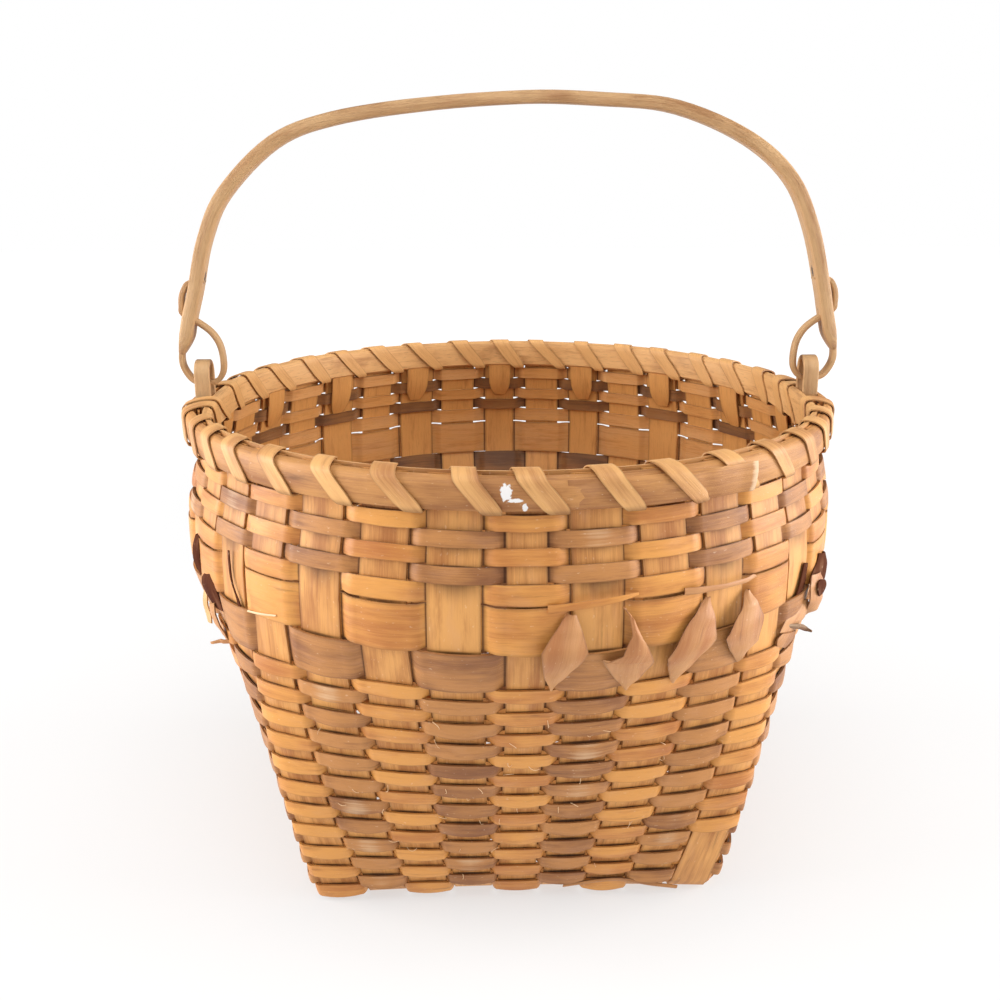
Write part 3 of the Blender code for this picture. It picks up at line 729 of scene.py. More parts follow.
def crossing(share, side, next_side):
    """How far out a row is between two uprights, and how much painted shade, with some dirt,
    darkens its ends where it passes the uprights.
    """
    if side == next_side:
        return side, 0.0
    past = share if side > next_side else 1.0 - share
    tuck_dirt_and_shade = smooth((past - 0.78) / 0.2) - smooth((0.22 - past) / 0.2)
    return 1.0 - 2.0 * smooth((past - 0.22) / 0.78), tuck_dirt_and_shade


def row_stops(wall, plan, middle):
    """Stops of one row round the wall: place, how far out, painted shade and dirt at the tucks,
    upright and arch.
    """
    size = wall.size
    reach = size.splint_thickness / 2.0 + size.gap + size.row_thickness / 2.0
    for index in range(wall.places):
        center, half = wall.upright(index, middle)
        after, half_after = wall.upright(index + 1, middle)
        side = 1.0 if plan.outside(index) else -1.0
        next_side = 1.0 if plan.outside((index + 1) % wall.places) else -1.0
        for share in (-1.0, -0.66, -0.33, 0.0, 0.33, 0.66, 1.0):
            yield center + share * half, side * reach, 0.0, index, 1.0 - 0.55 * share * share
        start = center + half
        span = after - half_after - start
        for share in (0.07, 0.2, 0.4, 0.6, 0.8, 0.93):
            level, tuck_dirt_and_shade = crossing(share, side, next_side)
            owner = index if level * side > 0.0 else (index + 1) % wall.places
            arch = 0.45 - 0.2 * (share if owner == index else 1.0 - share)
            yield start + share * span, level * reach, tuck_dirt_and_shade, owner, arch


def row_floats(wall, plan, chance):
    """Bulge, tone, lift, droop and wear of each float, in turn round the wall."""
    floats = []
    for _ in range(wall.places):
        worn = 0.0
        if plan.color == "dark_row" and chance.random() < 0.4:
            worn = chance.uniform(0.2, 0.6)
        floats.append((
            plan.bulge(chance) * MM, plan.tone + chance.uniform(-0.8, 0.8),
            chance.uniform(-0.3, 0.3) * MM, chance.uniform(0.5, 1.3) * MM, worn,
        ))
    return floats


def weave_row(wall, plan):
    """Weave one row as a closed ring round the wall."""
    size = wall.size
    middle = plan.bottom + plan.height / 2.0
    levels = (-1.0, -0.5, 0.0, 0.5, 1.0) if plan.wide else (-1.0, -0.35, 0.35, 1.0)
    floats = row_floats(wall, plan, random.Random(900 + plan.seed))
    table = []
    for place, off, tuck_dirt_and_shade, index, arch in row_stops(wall, plan, middle):
        bulge, tone, lift, droop, worn = floats[index]
        outside = plan.outside(index)
        station = []
        for across in levels:
            height = middle + across * 0.5 * (plan.height - size.row_space) + lift * arch
            if across < 0.0:
                height += across * plan.hang
                if outside:
                    height += across * (droop if plan.lower else 0.3 * droop) * arch
            height += 0.2 * MM * wander(plan.seed + 0.3 * across, place * 1.7)
            lean = 1.0 - 0.45 * across if plan.lower else 1.0
            out = off + (bulge * arch * lean if outside else -0.2 * bulge * arch)
            out += 0.2 * MM * (1.0 - across * across)
            grain = across * plan.height / 2.0 + plan.seed * 0.71
            # Painted shade makes each float darker towards its ends, where it dives under the
            # uprights beside it; the wear stays in its middle
            finish = finish_of(tone + 0.55 * (arch - 0.6), tuck_dirt_and_shade, abs(across), worn * arch)
            station.append([wall.on(place, height, out), 0.0, grain, finish])
        table.append(station)
    table.append([[cell[0].copy(), *cell[1:]] for cell in table[0]])
    lay_grain(table, plan.seed * 1.37, len(levels) // 2, len(levels) // 2)
    item = sheet_of_wood(f"woven_{plan.name}", table, closed=True)
    thicken(item, size.row_thickness)
    return finish_piece(item, plan.color, "basket", plan.name)


# Long splints

def upright_levels(wall, index, top):
    """Heights of an upright's stations, each with how much painted shade, with some dirt, darkens
    it just above the float below it.
    """
    levels = {FOOT: 0.0, top: 0.0}
    for step in range(1, 12):
        levels[FOOT + step / 12 * (top - FOOT)] = 0.0
    for plan in row_plans(wall.size):
        if plan.outside(index):
            edge = plan.bottom + plan.height
            # Painted shade, with some dirt, along the top edge of each float outside this upright,
            # fainter at the wide bands
            for above, dark in ((-1.0, 0.9), (-0.3, 0.8), (0.2, 0.25), (0.7, 0.0)):
                levels[edge + above * MM] = dark * (0.7 if plan.wide else 1.0)
    ordered = sorted((height, dark) for height, dark in levels.items() if height <= top)
    kept = [ordered[0]]
    for height, dark in ordered[1:]:
        if height - kept[-1][0] > 0.3 * MM:
            kept.append((height, dark))
    return list(reversed(kept))


def upright_cells(wall, index, top, seed, chance):
    """Stations of one upright, from its top down to the base's edge."""
    tone = chance.uniform(-0.6, 0.4)
    if index < len(FRONT_TONES):
        tone = FRONT_TONES[index]
    cells = []
    for height, dark in upright_levels(wall, index, top):
        middle, half = wall.upright(index, height)
        band = smooth((height - BAND_LOW) / BAND_FADE) * smooth((BAND_HIGH - height) / BAND_FADE)
        pale = 0.75 * band if index % 2 else 0.0
        station = []
        for across in ACROSS:
            wave = 1.0 + 0.025 * wander(seed + across, height * 40.0)
            place = middle + across * half * wave
            edge = 0.15 * MM * (1.0 - across * across)
            # Painted shade above the floats, darkest down the middle of the upright
            tuck_dirt_and_shade = dark * (1.0 - 0.65 * across * across)
            finish = finish_of(tone + pale, tuck_dirt_and_shade, abs(across), 0.35 * pale)
            station.append([wall.on(place, height, edge), 0.0, 0.0, finish])
        cells.append(station)
    return cells


def base_cells(wall, number, crosswise, chance):
    """Stations across the base between the two uprights' feet."""
    size = wall.size
    middle = 1.5 * size.splint_thickness + size.gap
    rise = size.splint_thickness + size.gap
    offset = (number - (size.per_side - 1) / 2.0) * wall.pitch
    tone = chance.uniform(-0.3, 0.3)
    cells = []
    count = 4 * size.per_side
    reach = wall.base_half - 1.5 * MM
    for step in range(count + 1):
        along = reach * (1.0 - 2.0 * step / count)
        height = middle
        if crosswise:
            wave = math.cos(math.pi * (along / wall.pitch + (size.per_side - 1) / 2.0 + number))
            height = middle + rise * min(max(1.6 * wave, -1.0), 1.0)
            fade = smooth((abs(along) - (reach - 7.0 * MM)) / (7.0 * MM))
            height = max(height, (1.0 - fade) * height + fade * middle)
        station = []
        for across in ACROSS:
            cross = offset + across * size.splint_width / 2.0
            point = (along, cross, height) if crosswise else (cross, -along, height)
            station.append([Vector(point), 0.0, 0.0, finish_of(tone, 0.0, abs(across))])
        cells.append(station)
    return cells


def weave_splint(wall, number, crosswise):
    """Weave a long splint: down an upright, across the base and up the one opposite."""
    size = wall.size
    name = f"{'crosswise' if crosswise else 'lengthwise'}_splint_{number + 1}"
    seed = number + (40 if crosswise else 20)
    chance = random.Random(seed)
    side = size.per_side if crosswise else 0
    first, last = side + number, side + 3 * size.per_side - 1 - number
    top = (size.rim_bottom if first + 0.5 in wall.ears else size.rim_top) - 1.0 * MM
    down = upright_cells(wall, first, top, seed, chance)
    base = base_cells(wall, number, crosswise, chance)
    up = upright_cells(wall, last, top, seed + 9, chance)
    if crosswise:
        down = [list(reversed(station)) for station in down]
    table = orient_and_chain(down, base, up)
    for station in table:
        for at, cell in enumerate(station):
            across = -1.0 + 2.0 * at / (len(station) - 1)
            cell[2] = across * size.splint_width / 2.0 + seed * 0.53
    lay_grain(table, seed * 2.1, 0, -1)
    item = sheet_of_wood(f"woven_{name}", table)
    thicken(item, size.splint_thickness)
    return finish_piece(item, "upright", "basket", name)


def orient_and_chain(*parts):
    """Chain stations end to end, turning each part so that its edges run on."""
    table = list(parts[0])
    for part in parts[1:]:
        end = table[-1]
        ahead = (part[0][0][0] + part[0][-1][0]) / 2.0
        behind = (part[-1][0][0] + part[-1][-1][0]) / 2.0
        center = (end[0][0] + end[-1][0]) / 2.0
        if (behind - center).length < (ahead - center).length:
            part = list(reversed(part))
        if (part[0][0][0] - end[0][0]).length > (part[0][-1][0] - end[0][0]).length:
            part = [list(reversed(station)) for station in part]
        table += part
    return table


# Rim

class Rim:
    """Faces of the two hoops and of the lashing round them."""

    def __init__(self, wall):
        self.wall = wall
        self.size = bpy.context.scene.rim_sizes

    def spread(self, place):
        """How far the hoops stand off the uprights, to hold the legs of the ears."""
        half = self.wall.places / 2
        distance = min(abs((place - ear + half) % (2 * half) - half) for ear in self.wall.ears)
        room = (self.size.ear_width - self.wall.size.splint_thickness) / 2.0
        return room * (1.0 - smooth((distance - 0.5) / 1.5))

    def face(self, place, side):
        """Radius of the hoop's face that lies against the uprights."""
        size = self.wall.size
        off = size.splint_thickness / 2.0 + size.gap + self.spread(place)
        return size.rim_radius + side * off

    def lap(self, place):
        """How far the lashing stands off the outer hoop where it runs over the lapped end."""
        return lap_stand(place) * (1.0 - smooth((place - LAP_FREE) / LAP_FADE))

    def outer(self, place):
        """Radius that the lashing has to clear outside."""
        return self.face(place, 1.0) + self.size.outer_thickness + self.lap(place)

    def inner(self, place):
        """Radius that the lashing has to clear inside."""
        return self.face(place, -1.0) - self.size.inner_thickness

    def point(self, place, radius, height):
        """Point at a radius and height."""
        angle = self.wall.angle(place)
        return Vector((radius * math.cos(angle), radius * math.sin(angle), height))


# Lapped end of the outer hoop: places where it starts, leaves the lashing and ends, the
# lengths over which it rises and comes free, its stand off the hoop and its section
LAP_START = 5.1
LAP_FREE = 7.1
LAP_END = 8.14
LAP_RISE = 1.84
LAP_FADE = 0.3
LAP_STAND = 2.6 * MM
LAP_SECTION = ((-1.0, 0.15), (-0.9, 0.9), (-0.5, 1.0), (0.2, 1.0), (0.62, 0.85), (0.86, 0.35))


def lap_stand(place):
    """How far the lapped end of the outer hoop stands off it."""
    if LAP_START < place < LAP_END + LAP_FADE:
        return LAP_STAND * smooth((place - LAP_START) / LAP_RISE)
    return 0.0


# Sections of the hoops, each point as level from bottom to top and depth off the uprights
OUTER_SECTION = (
    (-1.0, 0.0), (-1.0, 0.5), (-0.93, 0.82), (-0.72, 0.97), (-0.2, 1.0), (0.35, 0.98), (0.62, 0.90),
    (0.80, 0.74), (0.92, 0.52), (0.99, 0.26), (1.0, 0.0),
)
INNER_SECTION = (
    (-1.0, 0.0), (-1.0, 0.6), (-0.85, 0.95), (0.5, 1.0), (0.82, 0.85), (0.96, 0.55), (1.0, 0.0),
)


def bend_hoop(rim, name, node, side, section, seed):
    """Hoop whose section is laid round the rim and closed."""
    size = rim.wall.size
    drop = rim.size.outer_drop if side > 0.0 else 0.0
    thick = rim.size.outer_thickness if side > 0.0 else rim.size.inner_thickness
    half = (size.rim_top - drop - size.rim_bottom) / 2.0
    middle = size.rim_bottom + half
    count = 216
    table = []
    for step in range(count + 1):
        turn = step % count
        place = rim.wall.places * turn / count
        base = rim.face(place, side)
        run = 2.0 * math.pi * size.rim_radius * step / count
        away = smooth(4.0 * min(turn, count - turn) / count)
        lift = away * 0.4 * MM * wander(seed, 0.35 * place)
        station = []
        for at, (level, depth) in enumerate((*section, section[0])):
            fat = 1.0 + away * 0.1 * wander(seed + 2, place * 0.8)
            radius = base + side * depth * thick * fat
            point = rim.point(place, radius, middle + level * half + lift)
            worn = 0.35 if 0.45 < level < 1.0 and depth > 0.2 else 0.0
            tone = 0.1 + 0.5 * away * wander(seed + 5, 0.5 * place)
            # The upper part of the section is painted lighter as a highlight; the raw fibres on top
            # are real wear
            finish = finish_of(tone + (0.25 if level > 0.5 else 0.0), 0.0, 0.3, worn)
            station.append([point, run + seed, at * 2.1 * MM + seed, finish])
        table.append(station)
    item = sheet_of_wood(name, table, closed=True)
    return finish_piece(item, "hoop", "basket", node)


def lap_outer_hoop(rim):
    """Lapped end of the outer hoop, cut at a slant at the front right."""
    size = rim.wall.size
    half = (size.rim_top - rim.size.outer_drop - size.rim_bottom) / 2.0 - 0.2 * MM
    middle = size.rim_bottom + half + 0.2 * MM
    table = []
    count = 46
    for step in range(count + 1):
        share = step / count
        station = []
        for level, depth in LAP_SECTION:
            slant = 0.04 * (level + 1.0) * smooth((share - 0.8) / 0.2)
            place = LAP_START + share * (LAP_END - 0.1 + slant - LAP_START)
            base = rim.face(place, 1.0) + rim.size.outer_thickness - 1.0 * MM
            free = smooth((place - LAP_FREE) / LAP_FADE)
            depth += free * max(0.0, 0.72 - depth)
            lift = 0.8 * MM * free + 1.3 * MM * smooth((share - 0.9) / 0.1)
            radius = base + depth * (lap_stand(place) + 0.9 * MM) + lift
            point = rim.point(place, radius, middle + level * half)
            tone = -0.2 - 0.5 * free + 0.4 * wander(91, 3.0 * share)
            finish = finish_of(
                tone, 0.0, abs(level) * 0.8, 0.3 + 0.7 * smooth((share - 0.95) / 0.05),
            )
            station.append([point, share * 0.09 + 3.0, level * half + 3.0, finish])
        table.append(station)
    item = sheet_of_wood("outer_hoop_lap", table)
    thicken(item, 1.2 * MM, 0.2 * MM, offset=-1.0)
    return finish_piece(item, "hoop", "basket")


def lashing_turn(rim, turn, chance):
    """Stops of one turn of the lashing: place, depth across the rim, level and width."""
    wide = rim.size.lashing_width * chance.uniform(0.9, 1.12)
    waist = rim.size.lashing_waist
    start = rim.wall.between(turn, rim.wall.size.rim_bottom)
    end = rim.wall.between(turn + 1, rim.wall.size.rim_bottom)
    top = start + (0.56 + chance.uniform(-0.07, 0.07)) * (end - start)
    if any(turn < place < turn + 1 for place in rim.wall.ears):
        top = end
        wide = 1.4 * waist
    back, on = top - start, end - top
    return (
        (start, -1.0, 0.0, 0.7 * wide), (start + 0.2 * back, -1.0, 0.2, wide),
        (start + 0.62 * back, -1.0, 0.62, wide), (start + 0.92 * back, -1.0, 0.93, wide),
        (top - 0.03, -0.75, 1.02, wide), (top, 0.0, 1.0, wide), (top + 0.03, 0.55, 0.93, wide),
        (top + 0.1 * on, 0.9, 0.84, wide), (top + 0.22 * on, 1.0, 0.72, wide),
        (top + 0.5 * on, 1.0, 0.46, wide), (top + 0.78 * on, 1.0, 0.2, wide),
        (top + 0.94 * on, 1.0, 0.03, 0.85 * wide), (end, 0.8, -0.04, 1.1 * waist),
        (end, 0.0, -0.04, waist), (end, -0.8, -0.04, waist),
    )


def wrap_lashing(rim):
    """Lashing splint wound round both hoops, once in every space between uprights."""
    size = rim.wall.size
    gap = 0.3 * MM
    chance = random.Random(77)
    half_thick = rim.size.lashing_thickness / 2.0
    low = size.rim_bottom - gap - half_thick
    high = size.rim_top + gap + half_thick
    spacing = 2.0 * math.pi * size.rim_radius / rim.wall.places
    table = []
    for turn in range(rim.wall.places):
        tone = chance.uniform(-0.7, 0.5)
        for place, depth, level, width in lashing_turn(rim, turn, chance):
            # Painted shade, with some dirt, on the lashing low down where it turns under the hoops
            tuck_dirt_and_shade = 0.5 * smooth((0.12 - level) / 0.12)
            station = []
            for across in (-1.0, -0.5, 0.5, 1.0):
                at = place + across * 0.5 * width / spacing
                outer = rim.outer(at) + gap + half_thick
                inner = rim.inner(at) - gap - half_thick
                radius = (inner + outer) / 2.0 + depth * (outer - inner) / 2.0
                point = rim.point(at, radius, low + level * (high - low))
                finish = finish_of(tone, tuck_dirt_and_shade, abs(across), 0.2)
                station.append([point, 0.0, across * width / 2.0 + 0.3, finish])
            table.append(station)
    lay_grain(table, 0.0, 1, 2)
    end = table[-1][0][1] + 8.0 * MM
    table.append([[cell[0].copy(), end, *cell[2:]] for cell in table[0]])
    item = sheet_of_wood("wound_rim_lashing", table, closed=True)
    apply_modifier(item, "SUBSURF", levels=1, render_levels=1)
    thicken(item, rim.size.lashing_thickness)
    return finish_piece(item, "lashing", "basket", "rim_lashing")


def bend_ear(rim, name, side):
    """Bentwood loop that stands between the spread hoops."""
    size = rim.size
    wall = rim.wall.size
    half = (size.ear_inside + size.ear_thickness) / 2.0
    crown = wall.rim_top + size.ear_above - size.ear_thickness / 2.0
    knee = (wall.rim_bottom + crown - half) / 2.0
    route = [(-half, wall.rim_bottom), (-half, knee)]
    for step in range(17):
        angle = math.pi * step / 16
        route.append((-half * math.cos(angle), crown - half + half * math.sin(angle)))
    route += [(half, knee), (half, wall.rim_bottom)]
    table = []
    run = 0.0
    for at, (across, height) in enumerate(route):
        if at:
            run += math.dist(route[at - 1], route[at])
        station = []
        for reach in (-1.0, -0.5, 0.5, 1.0):
            beside = reach * size.ear_width / 2.0
            point = Vector((side * wall.rim_radius + beside, across, height))
            finish = finish_of(0.5, 0.0, abs(reach) * 0.8)
            station.append([point, run + side, beside + 0.9, finish])
        table.append(station)
    item = sheet_of_wood(f"bent_{name}", table)
    thicken(item, size.ear_thickness, 0.6 * MM, segments=3)
    return finish_piece(item, "ear", "basket", name)


# Curled twists and loose splints

def smooth_route(marks, steps):
    """Route through marks of (point, values), with even steps between them."""
    marks = [marks[0], *marks, marks[-1]]
    route = []
    for before, here, there, after in zip(marks, marks[1:], marks[2:], marks[3:]):
        leaving = here[0] + (there[0] - before[0]) / 6.0
        arriving = there[0] - (after[0] - here[0]) / 6.0
        points = interpolate_bezier(here[0], leaving, arriving, there[0], steps + 1)[:-1]
        for step, point in enumerate(points):
            share = step / steps
            values = [a + share * (b - a) for a, b in zip(here[1], there[1])]
            route.append((point, values))
    route.append(marks[-2])
    return route


def smooth_line(marks, steps):
    """Points of a smooth line through marks."""
    return [point for point, _values in smooth_route([(Vector(mark), ()) for mark in marks], steps)]


def straight_line(marks, steps):
    """Points along straight pieces between marks, standing off smoothly."""
    marks = [Vector(mark) for mark in marks]
    line = []
    for here, there in zip(marks, marks[1:]):
        for step in range(steps):
            point = here.lerp(there, step / steps)
            point.z = here.z + smooth(step / steps) * (there.z - here.z)
            line.append(point)
    return [*line, marks[-1]]


def loose_strip(wall, name, left, right, look, *nodes):
    """Strip between two edges, each given by marks of place, height and stand-off in mm.

    Its look holds the slot, kind of wood, crown, tones of its ends, wear and seed.
    """
    slot, kind, crown, first_tone, last_tone, worn, seed = look
    line = straight_line if kind == "twist" else smooth_line
    edges = list(zip(line(left, 6), line(right, 6)))
    table = []
    for at, (one, other) in enumerate(edges):
        tone = first_tone + at / (len(edges) - 1) * (last_tone - first_tone)
        station = []
        for step in range(7):
            share = step / 6
            across = 2.0 * share - 1.0
            place, height, out = one.lerp(other, share)
            point = wall.on(place, height * MM, (out + crown * (1.0 - across * across)) * MM)
            station.append([point, 0.0, share - 0.5, finish_of(tone, 0.0, abs(across), worn)])
        width = (station[-1][0] - station[0][0]).length
        for cell in station:
            cell[2] = cell[2] * width + 0.61 * seed
        table.append(station)
    lay_grain(table, seed, 3, 3)
    item = sheet_of_wood(name, table)
    thicken(item, 0.6 * MM, even=False)
    return finish_piece(item, slot, "basket", *nodes, kind=kind)


# Edges of the twists, top to bottom: place, height and stand-off in millimetres
TWIST_EDGES = (
    (
        ((5.10, 160.5, 1.6), (4.90, 154.2, 4.5), (4.72, 147.5, 6.5),
         (4.78, 137.5, 4.5), (4.90, 128.0, 1.6)),
        ((5.22, 160.0, 1.8), (5.30, 153.8, 4.5), (5.36, 147.0, 6.5),
         (5.14, 138.5, 4.5), (4.92, 128.2, 1.8)),
    ),
    (
        ((5.90, 161.8, 2.5), (5.96, 159.5, 5.0), (5.98, 152.0, 7.0),
         (5.86, 145.0, 6.5), (5.64, 143.0, 6.0),
         (5.58, 143.8, 5.5), (5.78, 135.0, 4.0), (6.04, 125.5, 1.8)),
        ((5.92, 161.2, 2.5), (6.04, 156.0, 5.0), (6.12, 150.2, 7.0),
         (6.24, 146.0, 6.5), (6.34, 142.2, 6.2),
         (6.36, 140.8, 6.0), (6.24, 132.8, 4.0), (6.08, 125.2, 1.8)),
    ),
    (
        ((7.28, 159.8, 1.6), (6.94, 153.2, 4.5), (6.56, 141.2, 6.5),
         (6.66, 133.8, 4.5), (6.82, 125.2, 1.8)),
        ((7.34, 159.5, 1.6), (7.38, 150.2, 4.5), (7.36, 144.2, 6.0),
         (7.10, 135.5, 4.5), (6.86, 125.0, 1.8)),
    ),
    (
        ((8.08, 158.2, 1.6), (7.86, 151.8, 5.0), (7.54, 143.5, 6.5),
         (7.74, 136.0, 5.0), (8.04, 127.5, 2.5)),
        ((8.14, 158.0, 1.6), (8.22, 152.8, 5.0), (8.32, 147.0, 6.0),
         (8.32, 136.5, 5.0), (8.12, 133.0, 4.0)),
    ),
)

# Remains of the thin row over the light band, and other loose splints, among them dark sheets that
# stand for the shade in slits, a hollow and a hole: name, edges and look
LOOSE_STRIPS = (
    ("broken_row_light",
     ((4.82, 161.2, 2.4), (5.00, 162.0, 3.0), (5.42, 163.0, 3.4),
      (5.84, 164.5, 3.4), (6.12, 165.8, 2.4)),
     ((4.82, 164.5, 2.4), (5.00, 164.8, 3.0), (5.42, 165.8, 3.4),
      (5.84, 166.5, 3.4), (6.12, 166.5, 2.4)),
     ("light_row", "light_row", 0.3, 0.0, 0.3, 0.0, 51)),
    ("broken_row_pink",
     ((6.86, 163.0, 2.4), (7.14, 162.5, 3.0), (7.58, 162.5, 3.4),
      (8.00, 162.2, 3.2), (8.28, 162.8, 2.4)),
     ((6.86, 165.5, 2.4), (7.12, 165.0, 3.0), (7.58, 164.0, 3.4),
      (8.00, 163.8, 3.2), (8.20, 164.0, 2.4)),
     ("dark_row", "twist", 0.3, -0.2, 0.2, 0.0, 52)),
    ("loose_base_strip",
     ((5.56, 4.2, 2.0), (6.66, 9.0, 2.4), (7.60, 5.0, 2.4), (8.22, 2.6, 2.0)),
     ((5.56, 6.2, 2.0), (6.66, 11.0, 2.4), (7.60, 7.0, 2.4), (8.22, 4.4, 2.0)),
     ("dark_row", "dark_row", 0.3, 0.0, -0.3, 0.2, 53)),
    ("raw_fibre",
     ((-0.14, 144.9, 2.3), (0.20, 146.1, 2.6), (0.56, 147.8, 2.4)),
     ((-0.12, 145.5, 2.3), (0.20, 146.8, 2.6), (0.58, 148.3, 2.4)),
     ("light_row", "lashing", 0.1, 0.9, 0.9, 1.0, 54)),
    ("left_red_curl",
     ((-2.2, 163.0, 1.2), (-2.2, 158.2, 3.0), (-2.2, 155.2, 3.5),
      (-2.2, 151.0, 3.2), (-2.1, 145.5, 1.0)),
     ((-2.0, 163.8, 1.2), (-1.9, 160.8, 2.5), (-1.9, 157.5, 2.5),
      (-1.9, 153.5, 2.5), (-1.9, 147.0, 1.2)),
     ("light_row", "curl", 1.2, 0.3, -0.2, 0.0, 55)),
    ("left_hollow",
     ((-1.42, 152.0, 1.8), (-1.66, 149.2, 3.0), (-1.72, 145.8, 3.6),
      (-1.70, 141.0, 3.4), (-1.60, 137.0, 2.6)),
     ((-1.34, 152.0, 1.8), (-1.26, 148.2, 1.9), (-1.18, 144.5, 1.9),
      (-1.14, 141.0, 1.9), (-1.10, 137.0, 1.9)),
     ("light_row", "curl", 0.6, 0.6, -0.6, 0.0, 56)),
    ("left_loop",
     ((-2.0, 141.8, 1.6), (-2.0, 137.8, 4.0), (-2.0, 134.2, 5.4),
      (-1.9, 130.8, 6.0), (-1.8, 128.0, 6.6)),
     ((-1.9, 141.8, 1.2), (-1.8, 138.0, 3.4), (-1.8, 134.5, 4.4),
      (-1.7, 131.2, 4.8), (-1.6, 128.6, 6.0)),
     ("light_row", "lashing", 0.2, 0.5, 0.2, 0.4, 57)),
    ("left_inner_loop",
     ((-1.46, 139.0, 4.6), (-1.56, 134.0, 5.0), (-1.56, 129.0, 4.8),
      (-1.50, 124.5, 3.6), (-1.46, 120.0, 1.8)),
     ((-1.30, 139.8, 3.6), (-1.34, 134.6, 4.2), (-1.34, 129.6, 4.0),
      (-1.30, 124.5, 3.0), (-1.34, 119.6, 1.6)),
     ("dark_row", "twist", 0.2, 0.2, -0.9, 0.2, 58)),
    ("left_spike",
     ((-1.30, 121.4, 1.6), (-1.46, 122.0, 5.0), (-1.60, 121.2, 9.0)),
     ((-1.30, 119.8, 1.6), (-1.46, 120.2, 5.0), (-1.58, 120.4, 9.0)),
     ("dark_row", "twist", 0.1, -0.3, 0.3, 0.2, 59)),
    ("left_slit",
     ((-0.67, 167.0, 1.4), (-0.665, 161.5, 1.6), (-0.625, 154.5, 1.6),
      (-0.46, 146.0, 1.6), (-0.46, 137.5, 1.4)),
     ((-0.64, 167.0, 1.4), (-0.62, 162.2, 1.6), (-0.58, 153.5, 1.6),
      (-0.38, 145.5, 1.6), (-0.30, 138.8, 1.4)),
     ("dark_row", "curl", 0.1, -0.9, -0.3, 0.0, 64)),
    ("right_slit",
     ((9.82, 157.2, 1.5), (9.64, 148.0, 1.7), (9.46, 142.0, 1.7), (9.36, 138.2, 1.6)),
     ((9.98, 156.0, 1.5), (9.86, 147.0, 1.7), (9.62, 139.8, 1.7), (9.40, 137.8, 1.6)),
     ("dark_row", "curl", 0.1, -0.4, -0.8, 0.0, 65)),
    ("right_red_curl",
     ((10.4, 157.2, 3.0), (10.34, 153.0, 2.6), (10.14, 150.0, 2.4), (10.06, 147.0, 2.4)),
     ((10.8, 154.8, 2.4), (10.8, 150.8, 4.2), (10.8, 147.0, 4.4), (10.7, 143.2, 4.4)),
     ("light_row", "curl", 1.6, 0.5, -0.3, 0.0, 66)),
    ("right_rolled_loop",
     ((10.02, 150.5, 3.4), (9.84, 147.5, 4.6), (9.84, 141.5, 5.4),
      (9.96, 137.0, 4.4), (10.10, 133.0, 2.4)),
     ((10.5, 149.2, 3.4), (10.5, 143.5, 5.5), (10.44, 138.8, 7.0),
      (10.30, 135.0, 7.0), (10.20, 131.6, 3.0)),
     ("light_row", "twist", 1.2, -0.2, 0.7, 0.1, 67)),
    ("right_loop_hole",
     ((10.02, 148.0, 6.3), (9.96, 146.0, 6.8), (10.00, 143.8, 7.2), (10.08, 142.4, 7.2)),
     ((10.14, 148.2, 6.3), (10.34, 146.6, 6.8), (10.36, 144.2, 7.4), (10.24, 142.4, 7.4)),
     ("dark_row", "curl", 0.0, -0.8, -0.2, 0.0, 68)),
    ("right_torn_flap",
     ((9.80, 141.0, 1.8), (9.60, 138.8, 1.9), (9.24, 136.8, 1.9), (9.06, 132.5, 1.8)),
     ((10.0, 140.5, 3.4), (10.1, 136.5, 4.2), (9.98, 132.6, 4.0), (9.56, 130.0, 2.6)),
     ("dark_row", "twist", 0.4, 0.9, 0.4, 0.3, 69)),
    ("right_spike",
     ((9.26, 134.8, 2.0), (9.70, 132.0, 4.6), (10.0, 128.6, 5.4), (10.0, 127.6, 8.5)),
     ((9.28, 133.2, 2.0), (9.68, 129.8, 4.4), (9.96, 126.8, 5.4), (10.0, 126.8, 8.5)),
     ("dark_row", "curl", 0.2, 0.9, 0.4, 0.6, 70)),
    ("right_torn_end",
     ((9.16, 131.0, 1.8), (9.02, 130.0, 1.8), (9.02, 126.8, 1.8)),
     ((9.72, 128.2, 3.2), (9.60, 125.0, 3.2), (9.34, 123.4, 2.4)),
     ("dark_row", "dark_row", 0.2, -0.9, -0.3, 0.2, 71)),
)


# Loose fibres on the lower front: how many, and the places about which they hang
HAIRS = 34
HAIR_PLACES = (1.5, 3.5, 3.5, 4.5, 5.5, 5.5, 6.5, 2.5)


def raise_hairs(wall):
    """Loose pale fibres on the lower front."""
    chance = random.Random(2024)
    hairs = []
    for _ in range(HAIRS):
        place = chance.choice(HAIR_PLACES) + chance.uniform(-0.55, 0.55)
        height = chance.uniform(14.0, 112.0)
        angle = chance.uniform(0.0, 2.0 * math.pi)
        reach = chance.uniform(2.0, 5.5)
        curl = chance.uniform(-1.2, 1.2)
        table = []
        for step in range(9):
            share = step / 8
            turn = angle + curl * (share - 0.5)
            across = (share - 0.5) * reach
            x, z = across * math.cos(turn), across * math.sin(turn)
            out = 2.3 + 1.0 * math.sin(math.pi * share)
            station = []
            for width in (-0.09, 0.09):
                at = place + (x - width * math.sin(turn)) / 22.0
                point = wall.on(at, (height + z + width) * MM, out * MM)
                station.append([point, share, width, finish_of(0.9, 0.0, 0.0, 1.0)])
            table.append(station)
        hair = sheet_of_wood("hair", table)
        thicken(hair, 0.15 * MM, even=False)
        hairs.append(hair)
    return finish_piece(join(hairs, "loose_hairs"), "lashing", "basket")


